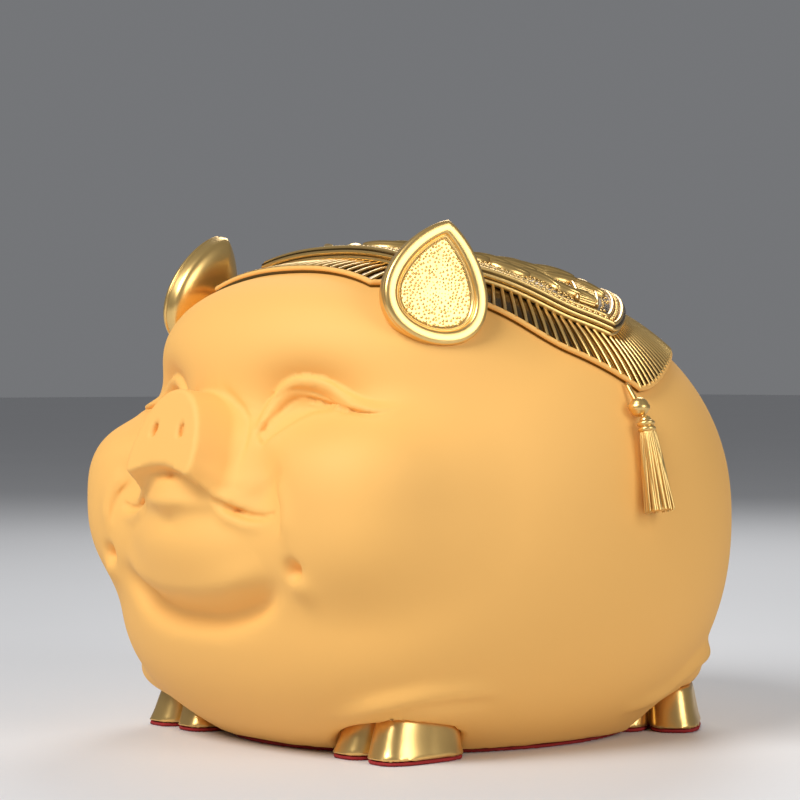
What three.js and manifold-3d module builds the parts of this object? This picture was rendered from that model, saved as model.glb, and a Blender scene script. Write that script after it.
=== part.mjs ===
// A hollow, moulded pig coin bank with plated gold trims: two ears, four hooves, a ribbed saddle
// blanket with a pad and two tassels, a curled tail, and a flat base closed by a plate, a sheet of
// felt and a rubber stopper. Millimetres, +Z up, nose towards -Y, the pig's left side towards +X.
import * as THREE from 'three';
import { mergeVertices } from 'three/addons/utils/BufferGeometryUtils.js';
import Module from 'manifold-3d';

const wasm = await Module();
wasm.setup();

// ---- driving dimensions ----
const CLEARANCE = 0.3; // air between pieces that touch
const LENGTH_SHIFT = -8.23; // moves the middle of the whole length onto Y = 0
const TORSO = { centre: [0, 12, 74], radii: [98, 104, 84], low: 95, power: 2.2 };
const HEAD = { centre: [0, -27, 124], radii: [71, 57, 36], low: 60, power: 2.3 };
const CHEEK = { centre: [42, -56, 81], radii: [39.5, 39.5, 32], low: 35, power: 2.6 };
const CHEST = { centre: [0, -34, 52], radii: [84, 56, 50], low: 50, power: 2.6 };
const MUZZLE = { centre: [0, -72, 88], radii: [37, 23.5, 25] };
const CHIN = { centre: [0, -77, 62], radii: [48, 22, 16] };
const FRONT_LEG = { centre: [50, -44, 18], radii: [25, 25, 9] };
const REAR_LEG = { centre: [46, 62, 24], radii: [24, 26, 14] };
const SNOUT = {
  centre: [0, -103.3, 104], tilt: 18.9, top: 15.9, halfWidth: 18, foot: -13.8, footWidth: 17, arch: 3.5, depth: 24,
};
const LIP = { centre: [0, -88, 85], radii: [31, 17, 4.2], tilt: -20, droop: 5 };
const WALL = 6;
const INSIDE_FLOOR = 10;
const RAY_CENTRE = new THREE.Vector3(0, 0, 80);

const FELT_THICKNESS = 1.2;
const BASE_Z = FELT_THICKNESS + CLEARANCE;
const PLATE = { halfX: 44, halfY: 52, centreY: 8, thickness: 6, ledge: 4 };
const FELT = { halfX: 62, halfY: 69, centreY: 10 };
const STOPPER = { neckRadius: 20, flangeRadius: 23.3, flangeDepth: 2.1, feltRadius: 25 };

const HOOF = { halfWidth: 15, halfLength: 17, height: 14, cleftDepth: 8, cleftWidth: 2.4 };
const FRONT_HOOF = { x: 52, y: -48, turn: 0 };
const REAR_HOOF = { x: 52, y: 67, turn: 42 };

const EAR = { width: 36, height: 42, thickness: 5, bevel: 2.4, x: 62, y: -42, z: 151, lean: 14 };
const EAR_FACING = new THREE.Vector3(0.93, -0.3, 0.2).normalize();

const BLANKET = { front: -52, corner: 26.3, cornerX: 86.2, slope: 0.36, bend: 0.0026, rear: 74, power: 1.5 };
const PAD = { front: -35, corner: 26.4, cornerX: 71.5, slope: 0.42, bend: 0.0024, rear: 48, power: 1.4 };
const BLANKET_THICKNESS = 1.7;
const PAD_THICKNESS = 4;
const DRAPE_GAP = 0.95;
const SLOT = { width: 5, length: 42, y: 14 };

const TASSEL = { y: 19.5, beadZ: 112.8, beadRadius: 2.5, topZ: 109.5, bottomZ: 78 };
const TAIL = { z: 88, radius: 2.6, coil: 7.5, turns: 1.15, reach: 7 };

// ---- shape of the moulded body, as a distance field ----
function smoothUnion(a, b, blend) {
  const h = THREE.MathUtils.clamp(0.5 + (0.5 * (b - a)) / blend, 0, 1);
  return b * (1 - h) + a * h - blend * h * (1 - h);
}

function ellipsoid(p, { centre, radii }) {
  const q = radii.map((r, i) => (p[i] - centre[i]) / r);
  const k0 = Math.hypot(...q);
  const k1 = Math.hypot(...q.map((v, i) => v / radii[i]));
  return k1 > 0 ? (k0 * (k0 - 1)) / k1 : -Math.min(...radii);
}

function squareEllipsoid(p, { centre, radii, low, power }) {
  const d = p.map((v, i) => v - centre[i]);
  const size = [radii[0], radii[1], d[2] < 0 ? low : radii[2]];
  const q = d.map((v, i) => Math.abs(v / size[i]) + 1e-6);
  const s = q.reduce((sum, v) => sum + v ** power, 0) ** (1 / power);
  const slope = Math.hypot(...q.map((v, i) => (v / s) ** (power - 1) / size[i]));
  return (s - 1) / slope;
}

// torso, head, chest and cheeks: the smooth masses that the inside follows too
function masses(p) {
  let d = squareEllipsoid(p, TORSO);
  d = smoothUnion(d, squareEllipsoid(p, HEAD), 13);
  d = smoothUnion(d, squareEllipsoid(p, CHEST), 14);
  return smoothUnion(d, squareEllipsoid(p, CHEEK), 11);
}

function body(point) {
  const p = [Math.abs(point[0]), point[1], point[2]];
  let d = masses(p);
  d = smoothUnion(d, ellipsoid(p, MUZZLE), 10);
  d = smoothUnion(d, ellipsoid(p, CHIN), 4);
  d = smoothUnion(d, ellipsoid(p, FRONT_LEG), 7);
  return smoothUnion(d, ellipsoid(p, REAR_LEG), 7);
}

// ---- turning fields and shapes into solids ----
function bare(geometry) {
  const copy = geometry.clone();
  copy.deleteAttribute('normal');
  copy.deleteAttribute('uv');
  return mergeVertices(copy, 1e-4);
}

function toSolid(geometry) {
  const merged = bare(geometry);
  return new wasm.Manifold(new wasm.Mesh({
    numProp: 3,
    vertProperties: new Float32Array(merged.attributes.position.array),
    triVerts: new Uint32Array(merged.index.array),
  }));
}

function toGeometry(solid) {
  const { vertProperties, triVerts } = solid.getMesh();
  const geometry = new THREE.BufferGeometry();
  geometry.setAttribute('position', new THREE.BufferAttribute(vertProperties, 3));
  geometry.setIndex(new THREE.BufferAttribute(triVerts, 1));
  geometry.computeVertexNormals();
  return geometry;
}

// cutting can leave a crumb beside a pocket; the piece itself is the largest solid
function withoutCrumbs(solid) {
  return solid.decompose().reduce((a, b) => (b.volume() > a.volume() ? b : a));
}

function mirrored(geometry) {
  const copy = bare(geometry);
  copy.scale(-1, 1, 1);
  const index = copy.index.array;
  for (let i = 0; i < index.length; i += 3) {
    [index[i + 1], index[i + 2]] = [index[i + 2], index[i + 1]];
  }
  copy.computeVertexNormals();
  return copy;
}

// last place where a ray from the centre leaves the field
function reach(direction, field, level) {
  const value = (t) => field(RAY_CENTRE.clone().addScaledVector(direction, t).toArray()) - level;
  let outer = 170;
  const step = 2;
  while (value(outer - step) > 0) outer -= step;
  let inner = outer - step;
  for (let i = 0; i < 24; i += 1) {
    const middle = (inner + outer) / 2;
    if (value(middle) > 0) outer = middle;
    else inner = middle;
  }
  return (inner + outer) / 2;
}

// a sphere, with its poles on the nose and the tail, pushed out onto a field
function blob(field, level, around, along) {
  const geometry = bare(new THREE.SphereGeometry(1, around, along));
  const position = geometry.attributes.position;
  const v = new THREE.Vector3();
  for (let i = 0; i < position.count; i += 1) {
    v.fromBufferAttribute(position, i).normalize();
    v.multiplyScalar(reach(v, field, level)).add(RAY_CENTRE);
    position.setXYZ(i, v.x, v.y, v.z);
  }
  return geometry;
}

function box(x0, x1, y0, y1, z0, z1) {
  const geometry = new THREE.BoxGeometry(x1 - x0, y1 - y0, z1 - z0);
  geometry.translate((x0 + x1) / 2, (y0 + y1) / 2, (z0 + z1) / 2);
  return geometry;
}

function upright(shape, z0, z1, options = {}) {
  const bevel = options.bevel ?? 0;
  const geometry = new THREE.ExtrudeGeometry(shape, {
    depth: z1 - z0 - 2 * bevel,
    bevelEnabled: bevel > 0,
    bevelThickness: bevel,
    bevelSize: bevel,
    bevelOffset: -bevel,
    bevelSegments: 2,
    curveSegments: options.segments ?? 12,
  });
  geometry.translate(0, 0, z0 + bevel);
  return geometry;
}

function ellipseShape(halfX, halfY, centreX = 0, centreY = 0) {
  const shape = new THREE.Shape();
  shape.absellipse(centreX, centreY, halfX, halfY, 0, 2 * Math.PI, false, 0);
  return shape;
}

// ---- hooves ----
// two rounded toes side by side, parted by a cleft at the front
function hoofShape(grow) {
  const w = HOOF.halfWidth + grow;
  const l = HOOF.halfLength + grow;
  const cleft = HOOF.cleftWidth / 2 - grow;
  const cleftEnd = -l + HOOF.cleftDepth;
  const shape = new THREE.Shape();
  shape.moveTo(0, l);
  shape.bezierCurveTo(w * 0.75, l, w, l * 0.5, w, 0);
  shape.bezierCurveTo(w, -l * 0.7, w * 0.75, -l, w * 0.42, -l);
  shape.quadraticCurveTo(cleft + 0.6, -l, cleft, -l + 3);
  shape.lineTo(0, cleftEnd);
  shape.lineTo(-cleft, -l + 3);
  shape.quadraticCurveTo(-cleft - 0.6, -l, -w * 0.42, -l);
  shape.bezierCurveTo(-w * 0.75, -l, -w, -l * 0.7, -w, 0);
  shape.bezierCurveTo(-w, l * 0.5, -w * 0.75, l, 0, l);
  return shape;
}

function hoof(place, grow, z0, z1, bevel) {
  const geometry = upright(hoofShape(grow), z0, z1, { bevel, segments: 4 });
  geometry.rotateZ(THREE.MathUtils.degToRad(place.turn));
  geometry.translate(place.x, place.y, 0);
  return geometry;
}

function everyHoof(make) {
  return [FRONT_HOOF, REAR_HOOF].flatMap((place) => [make(place), mirrored(make(place))]);
}

// ---- snout and lower lip ----
function tiltedUp(geometry, degrees) {
  geometry.rotateX(Math.PI / 2 - THREE.MathUtils.degToRad(degrees));
  return geometry;
}

// a short bell-shaped stub with a flat face, arched along its lower edge
function snout() {
  const { top, halfWidth, foot, footWidth, arch, depth } = SNOUT;
  const shape = new THREE.Shape();
  shape.moveTo(-footWidth, foot);
  shape.quadraticCurveTo(0, foot + 2 * arch, footWidth, foot);
  shape.quadraticCurveTo(halfWidth, foot * 0.75, halfWidth, foot * 0.5);
  shape.bezierCurveTo(halfWidth, top * 0.4, halfWidth * 0.55, top, 0, top);
  shape.bezierCurveTo(-halfWidth * 0.55, top, -halfWidth, top * 0.4, -halfWidth, foot * 0.5);
  shape.quadraticCurveTo(-halfWidth, foot * 0.75, -footWidth, foot);
  const geometry = upright(shape, -depth, 0, { bevel: 1, segments: 6 });
  tiltedUp(geometry, SNOUT.tilt);
  geometry.translate(...SNOUT.centre);
  return toSolid(geometry);
}

function nostril(side) {
  const geometry = new THREE.SphereGeometry(1, 10, 8);
  geometry.scale(1.2, 2.9, 3);
  geometry.rotateZ(-side * 0.12);
  geometry.translate(side * 7.3, 2, 0);
  tiltedUp(geometry, SNOUT.tilt);
  geometry.translate(...SNOUT.centre);
  return toSolid(geometry);
}

// a thin shelf that droops towards its corners
function lowerLip() {
  const geometry = new THREE.SphereGeometry(1, 26, 12);
  geometry.rotateX(Math.PI / 2);
  geometry.scale(...LIP.radii);
  geometry.rotateX(-THREE.MathUtils.degToRad(LIP.tilt));
  geometry.translate(...LIP.centre);
  const position = geometry.attributes.position;
  for (let i = 0; i < position.count; i += 1) {
    const droop = LIP.droop * (position.getX(i) / LIP.radii[0]) ** 2;
    position.setZ(i, position.getZ(i) - droop);
  }
  return toSolid(geometry);
}

// ---- body shell ----
function bodyShell() {
  let shell = toSolid(blob(body, 0, 54, 40));
  shell = shell.add(snout()).add(lowerLip()).subtract(nostril(1)).subtract(nostril(-1));
  shell = shell.subtract(toSolid(box(-150, 150, -150, 150, -80, BASE_Z)));
  let hollow = toSolid(blob((p) => masses([Math.abs(p[0]), p[1], p[2]]), -WALL, 28, 20));
  hollow = hollow.subtract(toSolid(box(-150, 150, -150, 150, -80, INSIDE_FLOOR)));
  for (const boss of everyHoof((place) => hoof(place, WALL, 0, HOOF.height + BASE_Z + WALL, 0))) {
    hollow = hollow.subtract(toSolid(boss));
  }
  shell = shell.subtract(hollow);
  for (const pocket of everyHoof((place) => hoof(place, CLEARANCE, 0, BASE_Z + HOOF.height + CLEARANCE, 0))) {
    shell = shell.subtract(toSolid(pocket));
  }
  const rebate = ellipseShape(PLATE.halfX + CLEARANCE, PLATE.halfY + CLEARANCE, 0, PLATE.centreY);
  shell = shell.subtract(toSolid(upright(rebate, 0, BASE_Z + PLATE.thickness + CLEARANCE)));
  const mouth = ellipseShape(PLATE.halfX - PLATE.ledge, PLATE.halfY - PLATE.ledge, 0, PLATE.centreY);
  shell = shell.subtract(toSolid(upright(mouth, 0, INSIDE_FLOOR + 3)));
  return toGeometry(withoutCrumbs(shell.subtract(coinSlot())));
}

function coinSlot() {
  const half = SLOT.length / 2;
  return toSolid(box(-SLOT.width / 2, SLOT.width / 2, SLOT.y - half, SLOT.y + half, 140, 180));
}

// ---- base ----
function basePlate() {
  const outline = ellipseShape(PLATE.halfX, PLATE.halfY, 0, PLATE.centreY);
  const plate = toSolid(upright(outline, BASE_Z, BASE_Z + PLATE.thickness));
  const hole = ellipseShape(STOPPER.neckRadius, STOPPER.neckRadius, 0, PLATE.centreY);
  const recess = ellipseShape(STOPPER.flangeRadius, STOPPER.flangeRadius, 0, PLATE.centreY);
  return toGeometry(plate
    .subtract(toSolid(upright(hole, 0, 20)))
    .subtract(toSolid(upright(recess, 0, BASE_Z + STOPPER.flangeDepth))));
}

// one sheet: the oval the belly stands on, with a lobe under each hoof
function baseFelt() {
  let felt = toSolid(upright(ellipseShape(FELT.halfX, FELT.halfY, 0, FELT.centreY), 0, FELT_THICKNESS));
  for (const lobe of everyHoof((place) => hoof(place, -0.8, 0, FELT_THICKNESS, 0))) {
    felt = felt.add(toSolid(lobe));
  }
  const opening = ellipseShape(STOPPER.feltRadius, STOPPER.feltRadius, 0, PLATE.centreY);
  return toGeometry(felt.subtract(toSolid(upright(opening, -1, 5))));
}

function stopper() {
  const rim = STOPPER.flangeRadius - CLEARANCE;
  const neck = STOPPER.neckRadius - CLEARANCE;
  const under = BASE_Z - 0.7;
  const seat = BASE_Z + STOPPER.flangeDepth - CLEARANCE;
  const profile = [
    [0, under], [6, under], [7, under + 2], [14, under + 2], [15, under], [rim, under], [rim, seat],
    [neck, seat], [neck, INSIDE_FLOOR - 1.6], [neck - 1.2, INSIDE_FLOOR - 0.4], [0, INSIDE_FLOOR - 0.4],
  ];
  const geometry = new THREE.LatheGeometry(profile.map(([r, z]) => new THREE.Vector2(r, z)), 28);
  geometry.rotateX(Math.PI / 2);
  geometry.translate(0, PLATE.centreY, 0);
  return geometry;
}

// ---- ears ----
function earShape() {
  const w = EAR.width / 2;
  const top = EAR.height * 0.54;
  const bottom = -EAR.height * 0.46;
  const shape = new THREE.Shape();
  shape.moveTo(0, top);
  shape.bezierCurveTo(w * 0.45, top * 0.86, w, top * 0.3, w, bottom * 0.2);
  shape.bezierCurveTo(w, bottom * 0.75, w * 0.5, bottom, 0, bottom);
  shape.bezierCurveTo(-w * 0.5, bottom, -w, bottom * 0.75, -w, bottom * 0.2);
  shape.bezierCurveTo(-w, top * 0.3, -w * 0.45, top * 0.86, 0, top);
  return shape;
}

function leftEar() {
  const geometry = upright(earShape(), -EAR.thickness, EAR.thickness, { bevel: EAR.bevel, segments: 7 });
  geometry.rotateZ(-THREE.MathUtils.degToRad(EAR.lean));
  const across = new THREE.Vector3(0, 0, 1).cross(EAR_FACING).normalize();
  const up = EAR_FACING.clone().cross(across);
  geometry.applyMatrix4(new THREE.Matrix4().makeBasis(across, up, EAR_FACING));
  geometry.translate(EAR.x, EAR.y, EAR.z);
  return toGeometry(withoutCrumbs(toSolid(geometry).subtract(toSolid(blob(body, 2 * CLEARANCE, 54, 40)))));
}

// ---- saddle blanket and pad ----
function topHeight(x, y) {
  let outer = 175;
  let inner = 60;
  while (outer - inner > 0.002) {
    const middle = (outer + inner) / 2;
    if (masses([Math.abs(x), y, middle]) > 0) outer = middle;
    else inner = middle;
  }
  return inner;
}

function liftedPoint(x, y, lift) {
  const z = topHeight(x, y);
  const at = (dx, dy, dz) => masses([Math.abs(x + dx), y + dy, z + dz]);
  const e = 0.5;
  const normal = new THREE.Vector3(
    at(e, 0, 0) - at(-e, 0, 0),
    at(0, e, 0) - at(0, -e, 0),
    at(0, 0, e) - at(0, 0, -e),
  ).normalize();
  return new THREE.Vector3(x, y, z).addScaledVector(normal, lift);
}

// a cloth cut straight at the front and rounded at the rear, laid on the back
function draped(cloth, low, high, columns, rows) {
  const geometry = bare(new THREE.BoxGeometry(2, 1, 1, columns, rows, 1));
  const position = geometry.attributes.position;
  for (let i = 0; i < position.count; i += 1) {
    const across = position.getX(i);
    const along = position.getY(i) + 0.5;
    const back = (1 - along) * (cloth.corner - cloth.front);
    const halfWidth = cloth.cornerX - cloth.slope * back - cloth.bend * back ** 2;
    const bulge = cloth.rear * Math.max(0, 1 - Math.abs(across) ** cloth.power) ** (1 / cloth.power);
    const y = cloth.front + along * (cloth.corner + bulge - cloth.front);
    const lift = position.getZ(i) > 0 ? high : low;
    const p = liftedPoint(across * halfWidth, y, lift);
    position.setXYZ(i, p.x, p.y, p.z);
  }
  return toGeometry(toSolid(geometry).subtract(coinSlot()));
}

function saddleBlanket() {
  return draped(BLANKET, DRAPE_GAP, DRAPE_GAP + BLANKET_THICKNESS, 16, 12);
}

function saddlePad() {
  const low = 2 * DRAPE_GAP + BLANKET_THICKNESS;
  return draped(PAD, low, low + PAD_THICKNESS, 12, 9);
}

// ---- tassels ----
function sideX(z) {
  let outer = 120;
  let inner = 40;
  while (outer - inner > 0.002) {
    const middle = (outer + inner) / 2;
    if (masses([middle, TASSEL.y, z]) > 0) outer = middle;
    else inner = middle;
  }
  return inner;
}

function tasselBead() {
  const geometry = new THREE.SphereGeometry(TASSEL.beadRadius, 12, 8);
  const away = TASSEL.beadRadius + 2;
  geometry.translate(sideX(TASSEL.beadZ) + away, TASSEL.y, TASSEL.beadZ);
  return geometry;
}

function tassel() {
  const profile = [[0, 0], [1.4, 0], [2.3, 2], [2.3, 4.5], [3.3, 8], [4.2, 16], [4.6, 30.5], [0, 31.5]];
  const points = profile.map(([r, down]) => new THREE.Vector2(r, -down)).reverse();
  const geometry = new THREE.LatheGeometry(points, 14);
  geometry.rotateX(Math.PI / 2);
  const away = 6.1;
  const top = new THREE.Vector3(sideX(TASSEL.topZ) + away, TASSEL.y, TASSEL.topZ);
  const end = new THREE.Vector3(sideX(TASSEL.bottomZ) + away, TASSEL.y, TASSEL.bottomZ);
  const turn = new THREE.Quaternion().setFromUnitVectors(
    new THREE.Vector3(0, 0, -1),
    end.clone().sub(top).normalize(),
  );
  geometry.applyQuaternion(turn);
  geometry.translate(top.x, top.y, top.z);
  return geometry;
}

// ---- tail ----
class TailCurve extends THREE.Curve {
  getPoint(t, target = new THREE.Vector3()) {
    const angle = 2 * Math.PI * TAIL.turns * t;
    const swing = TAIL.coil * (1 - 0.35 * t);
    return target.set(
      swing * Math.sin(angle),
      TAIL.root + TAIL.reach * t,
      TAIL.z + TAIL.coil - swing * Math.cos(angle),
    );
  }
}

function tail() {
  TAIL.root = reach(new THREE.Vector3(0, 1, 0.05).normalize(), body, 0) - 1;
  const section = new THREE.Shape();
  section.absarc(0, 0, TAIL.radius, 0, 2 * Math.PI, false);
  const geometry = new THREE.ExtrudeGeometry(section, {
    steps: 24,
    curveSegments: 3,
    extrudePath: new TailCurve(),
  });
  return toGeometry(withoutCrumbs(toSolid(geometry).subtract(toSolid(blob(body, CLEARANCE, 54, 40)))));
}

// ---- materials and assembly ----
function material(colour, roughness, metalness) {
  return new THREE.MeshStandardMaterial({ color: colour, roughness, metalness });
}

const LACQUER = material('#f7bc62', 0.55, 0.25);
const GOLD = material('#d9a441', 0.15, 1);
const RED_FELT = material('#8f1d1d', 0.95, 0);
const RUBBER = material('#26231f', 0.8, 0);

const pig = new THREE.Group();

function place(name, geometry, finish) {
  const mesh = new THREE.Mesh(geometry, finish.clone());
  mesh.name = name;
  pig.add(mesh);
}

place('body_shell', bodyShell(), LACQUER);
place('base_plate', basePlate(), LACQUER);
place('base_felt', baseFelt(), RED_FELT);
place('stopper', stopper(), RUBBER);
const ear = leftEar();
place('left_ear', ear, GOLD);
place('right_ear', mirrored(ear), GOLD);
for (const [end, spot] of [['front', FRONT_HOOF], ['rear', REAR_HOOF]]) {
  const geometry = hoof(spot, 0, BASE_Z, BASE_Z + HOOF.height, 1.2);
  place(`${end}_left_hoof`, geometry, GOLD);
  place(`${end}_right_hoof`, mirrored(geometry), GOLD);
}
place('saddle_blanket', saddleBlanket(), GOLD);
place('saddle_pad', saddlePad(), GOLD);
for (const [name, geometry] of [['tassel_bead', tasselBead()], ['tassel', tassel()]]) {
  place(`left_${name}`, geometry, GOLD);
  place(`right_${name}`, mirrored(geometry), GOLD);
}
place('tail', tail(), LACQUER);

pig.position.y = LENGTH_SHIFT;

export default pig;
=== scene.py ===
import math

import bmesh
import bpy
import numpy as np
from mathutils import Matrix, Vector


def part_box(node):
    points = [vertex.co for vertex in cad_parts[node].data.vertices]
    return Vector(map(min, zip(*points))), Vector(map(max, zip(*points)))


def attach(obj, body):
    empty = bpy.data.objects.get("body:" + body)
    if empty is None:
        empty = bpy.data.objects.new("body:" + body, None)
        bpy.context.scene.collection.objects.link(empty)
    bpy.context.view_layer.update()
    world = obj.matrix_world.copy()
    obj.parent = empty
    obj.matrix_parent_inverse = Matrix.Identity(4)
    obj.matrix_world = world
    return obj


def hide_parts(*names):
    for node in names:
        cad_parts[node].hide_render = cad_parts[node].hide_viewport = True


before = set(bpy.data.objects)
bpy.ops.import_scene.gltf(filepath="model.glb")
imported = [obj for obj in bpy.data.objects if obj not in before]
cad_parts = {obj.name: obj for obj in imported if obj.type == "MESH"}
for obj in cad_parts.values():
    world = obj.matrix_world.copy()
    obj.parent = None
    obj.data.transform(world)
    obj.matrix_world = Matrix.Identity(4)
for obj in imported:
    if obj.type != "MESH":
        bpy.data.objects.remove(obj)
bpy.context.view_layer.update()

bl_info = {
    "name": "Pig coin bank",
    "version": (1, 0, 0),
    "blender": (4, 5, 0),
    "location": "View3D > Sidebar > Pig bank",
    "description": "Makes the looks of a moulded pig coin bank with plated trims",
    "category": "Object",
}

MM = 0.001

# ---- shared places, in millimetres, nose towards -Y; SHIFT centres the whole length on Y = 0 ----
PLATE_Y = 8.0
SHIFT = sum(corner.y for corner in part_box("stopper")) / 2 / MM - PLATE_Y
BASE_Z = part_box("base_plate")[0].z / MM
INSIDE_FLOOR = 10.0
FACE_BACK = -40.0  # the hollow stops here, behind the face
PLATE_HALF = (44.3, 52.3)
PLATE_MOUTH = (40.0, 48.0)
PLATE_THICKNESS = 6.3
SLOT = {"width": 5.0, "length": 42.0, "y": 14.0}
FRONT_HOOF = (52.0, -48.0, 0.0)
REAR_HOOF = (52.0, 67.0, 42.0)
EAR_PLACE = (62.0, -42.0, 151.0)
EAR_FACING = (0.93, -0.3, 0.2)
EAR_LEAN = 14.0
BLANKET = {"front": -52.0, "corner": 26.3, "corner_x": 86.2, "slope": 0.36, "bend": 0.0026, "rear": 74.0,
           "power": 1.5}
PAD = {"front": -35.0, "corner": 26.4, "corner_x": 71.5, "slope": 0.42, "bend": 0.0024, "rear": 48.0, "power": 1.4}
TASSEL_Y = 19.5
FELT_OVAL = (66.8, 73.0, 10.0)  # half width, half length, middle


# ---- distance fields ----
def one_side(p):
    """Points with their x made positive, since both halves are alike."""
    return np.concatenate([np.abs(p[..., :1]), p[..., 1:]], -1)


def smooth_union(a, b, blend):
    h = np.clip(0.5 + 0.5 * (b - a) / blend, 0, 1)
    return b * (1 - h) + a * h - blend * h * (1 - h)


def smooth_common(a, b, blend):
    return -smooth_union(-a, -b, blend)


def ellipsoid(p, centre, radii):
    radii = np.array(radii, np.float32)
    q = (p - np.array(centre, np.float32)) / radii
    k0 = np.sqrt((q * q).sum(-1) + 1e-12)
    q = q / radii
    k1 = np.sqrt((q * q).sum(-1) + 1e-12)
    return k0 * (k0 - 1) / k1


def square_ellipsoid(p, centre, radii, power, low=None):
    d = p - np.array(centre, np.float32)
    height = np.where(d[..., 2] < 0, radii[2] if low is None else low, radii[2]).astype(np.float32)
    size = np.stack([np.full_like(height, radii[0]), np.full_like(height, radii[1]), height], -1)
    q = np.abs(d / size) + 1e-6
    s = (q ** power).sum(-1) ** (1 / power)
    slope = (q / s[..., None]) ** (power - 1) / size
    return (s - 1) / np.sqrt((slope * slope).sum(-1))


def bump(x, width):
    return np.exp(-(x / width) ** 2)


def ease(x):
    x = np.clip(x, 0, 1)
    return x * x * (3 - 2 * x)


def fade_ends(u, first, last):
    return ease(np.clip(u / first, 0, 1) * np.clip((1 - u) / last, 0, 1))


def fold_line(*points):
    """A smooth line through points, as closely spaced points."""
    p = np.array(points, float)
    p = np.vstack([2 * p[0] - p[1], p, 2 * p[-1] - p[-2]])
    spans = len(p) - 3
    t = np.linspace(0, 1, max(2, 40 // spans), endpoint=False)[:, None]
    line = []
    for a, b, c, d in (p[i:i + 4] for i in range(spans)):
        line.append(0.5 * (2 * b + (c - a) * t + (2 * a - 5 * b + 4 * c - d) * t ** 2
                           + (3 * b - a - 3 * c + d) * t ** 3))
    return np.vstack(line + [p[-2][None]]).astype(np.float32)


def along_line(q, line, reach):
    """Distance to a line, the share of its length, and the distance with its side: left is positive."""
    near = np.all((q > line.min(0) - reach) & (q < line.max(0) + reach), axis=-1)
    distance = np.full(q.shape[:-1], 1e3, np.float32)
    share = np.zeros(q.shape[:-1], np.float32)
    sided = np.full(q.shape[:-1], 1e3, np.float32)
    s = q[near]
    best = np.full(len(s), 1e9, np.float32)
    best_share = np.zeros(len(s), np.float32)
    best_side = np.zeros(len(s), np.float32)
    length = np.concatenate([[0], np.cumsum(np.linalg.norm(np.diff(line, axis=0), axis=1))])
    length /= length[-1]
    for i in range(len(line) - 1):
        a = line[i]
        ab = line[i + 1] - a
        t = np.clip((s - a) @ ab / (ab @ ab), 0, 1)
        r = s - a - t[:, None] * ab
        e = (r * r).sum(1)
        closer = e < best
        best[closer] = e[closer]
        best_share[closer] = (length[i] + t * (length[i + 1] - length[i]))[closer]
        best_side[closer] = (ab[0] * r[:, 1] - ab[1] * r[:, 0])[closer]
    distance[near] = np.sqrt(best)
    share[near] = best_share
    sided[near] = np.sqrt(best) * np.sign(best_side)
    return distance, share, sided


# ---- the moulded body ----
def masses(p):
    """Torso, head, chest and cheeks; p has its x made positive."""
    d = square_ellipsoid(p, (0, 12, 74), (98, 104, 84), 2.2, 95)
    d = smooth_union(d, square_ellipsoid(p, (0, -27, 124), (71, 57, 36), 2.3, 60), 13)
    d = smooth_union(d, square_ellipsoid(p, (0, -34, 52), (84, 56, 50), 2.6), 14)
    return smooth_union(d, square_ellipsoid(p, (44.5, -53.5, 81), (39.5, 39.5, 32), 2.6, 35), 11)


SNOUT_TILT = math.radians(18.9)
SNOUT_CENTRE = np.array((0, -103.3, 104), np.float32)
SNOUT_OUT = np.array((0, -math.cos(SNOUT_TILT), math.sin(SNOUT_TILT)), np.float32)
SNOUT_UP = np.array((0, math.sin(SNOUT_TILT), math.cos(SNOUT_TILT)), np.float32)


def snout(p):
    """A short bell-shaped stub with a flat face, arched along its lower edge."""
    r = p - SNOUT_CENTRE
    a, b, h = np.abs(r[..., 0]), r @ SNOUT_UP + 8, r @ SNOUT_OUT
    flare = np.clip(-h, 0, 30) * 0.20
    tall = np.where(b > 0, 23.9, 15.0) + flare
    wide = 18.1 + flare
    q = np.sqrt((a / wide) ** 2 + (b / tall) ** 2) + 1e-6
    slope = np.sqrt((a / wide ** 2) ** 2 + (b / tall ** 2) ** 2) / q + 1e-6
    d = smooth_common((q - 1) / slope, h, 1.6)
    d = np.maximum(d, -h - 24)
    arch = -(b + 2.2 + 3.4 * (a / 16.9) ** 2)
    return smooth_common(d, arch * 0.95, 1.0)


def nostril(p):
    r = p - SNOUT_CENTRE
    a, b, h = r[..., 0] - 7.3, r @ SNOUT_UP - 2.2, r @ SNOUT_OUT
    turn = math.radians(-8)
    a, b = a * math.cos(turn) - b * math.sin(turn), a * math.sin(turn) + b * math.cos(turn)
    return ellipsoid(np.stack([a, b, h], -1), (0, 0, 0), (1.25, 2.9, 4))


SMILE = fold_line((0, 90), (8.5, 88.8), (15.5, 86.3), (18.8, 84), (22.8, 82), (27.6, 80.2), (33.4, 78.9), (39, 79.2),
                  (43.5, 81.2))
CHEEK_FOLD = fold_line((40, 89), (43.5, 85.5), (46.4, 81.8), (47.7, 78), (47.4, 73.8), (45.5, 70.5))
# the body's folds over the legs
FRONT_FOLD = fold_line((45, -70, 12), (49, -70, 14), (54.5, -68.5, 16), (64, -65.7, 19.2), (72.8, -57.8, 22.2),
                       (76.8, -49, 23.2), (78.7, -41.7, 23.2), (80, -34.5, 22.5), (80.4, -26, 20.5))
REAR_FOLD = fold_line((77.2, 23.7, 11.3), (75.8, 36, 12), (74.3, 49.9, 15.2), (74.4, 57.7, 19.3), (73.8, 65.4, 23),
                      (71.1, 73.2, 25.7), (66.2, 80.4, 26.3), (60, 85.7, 25.1), (53.5, 88.9, 23.4))
POUCH = fold_line((0, 46), (12, 46.4), (24, 48.8), (33, 52.6), (40, 57.4), (45, 62.5))
SNOUT_RING = fold_line((0, 122), (6, 119.5), (12.5, 114.5), (18, 109), (21.8, 103), (22.6, 97), (21.5, 92))
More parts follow.
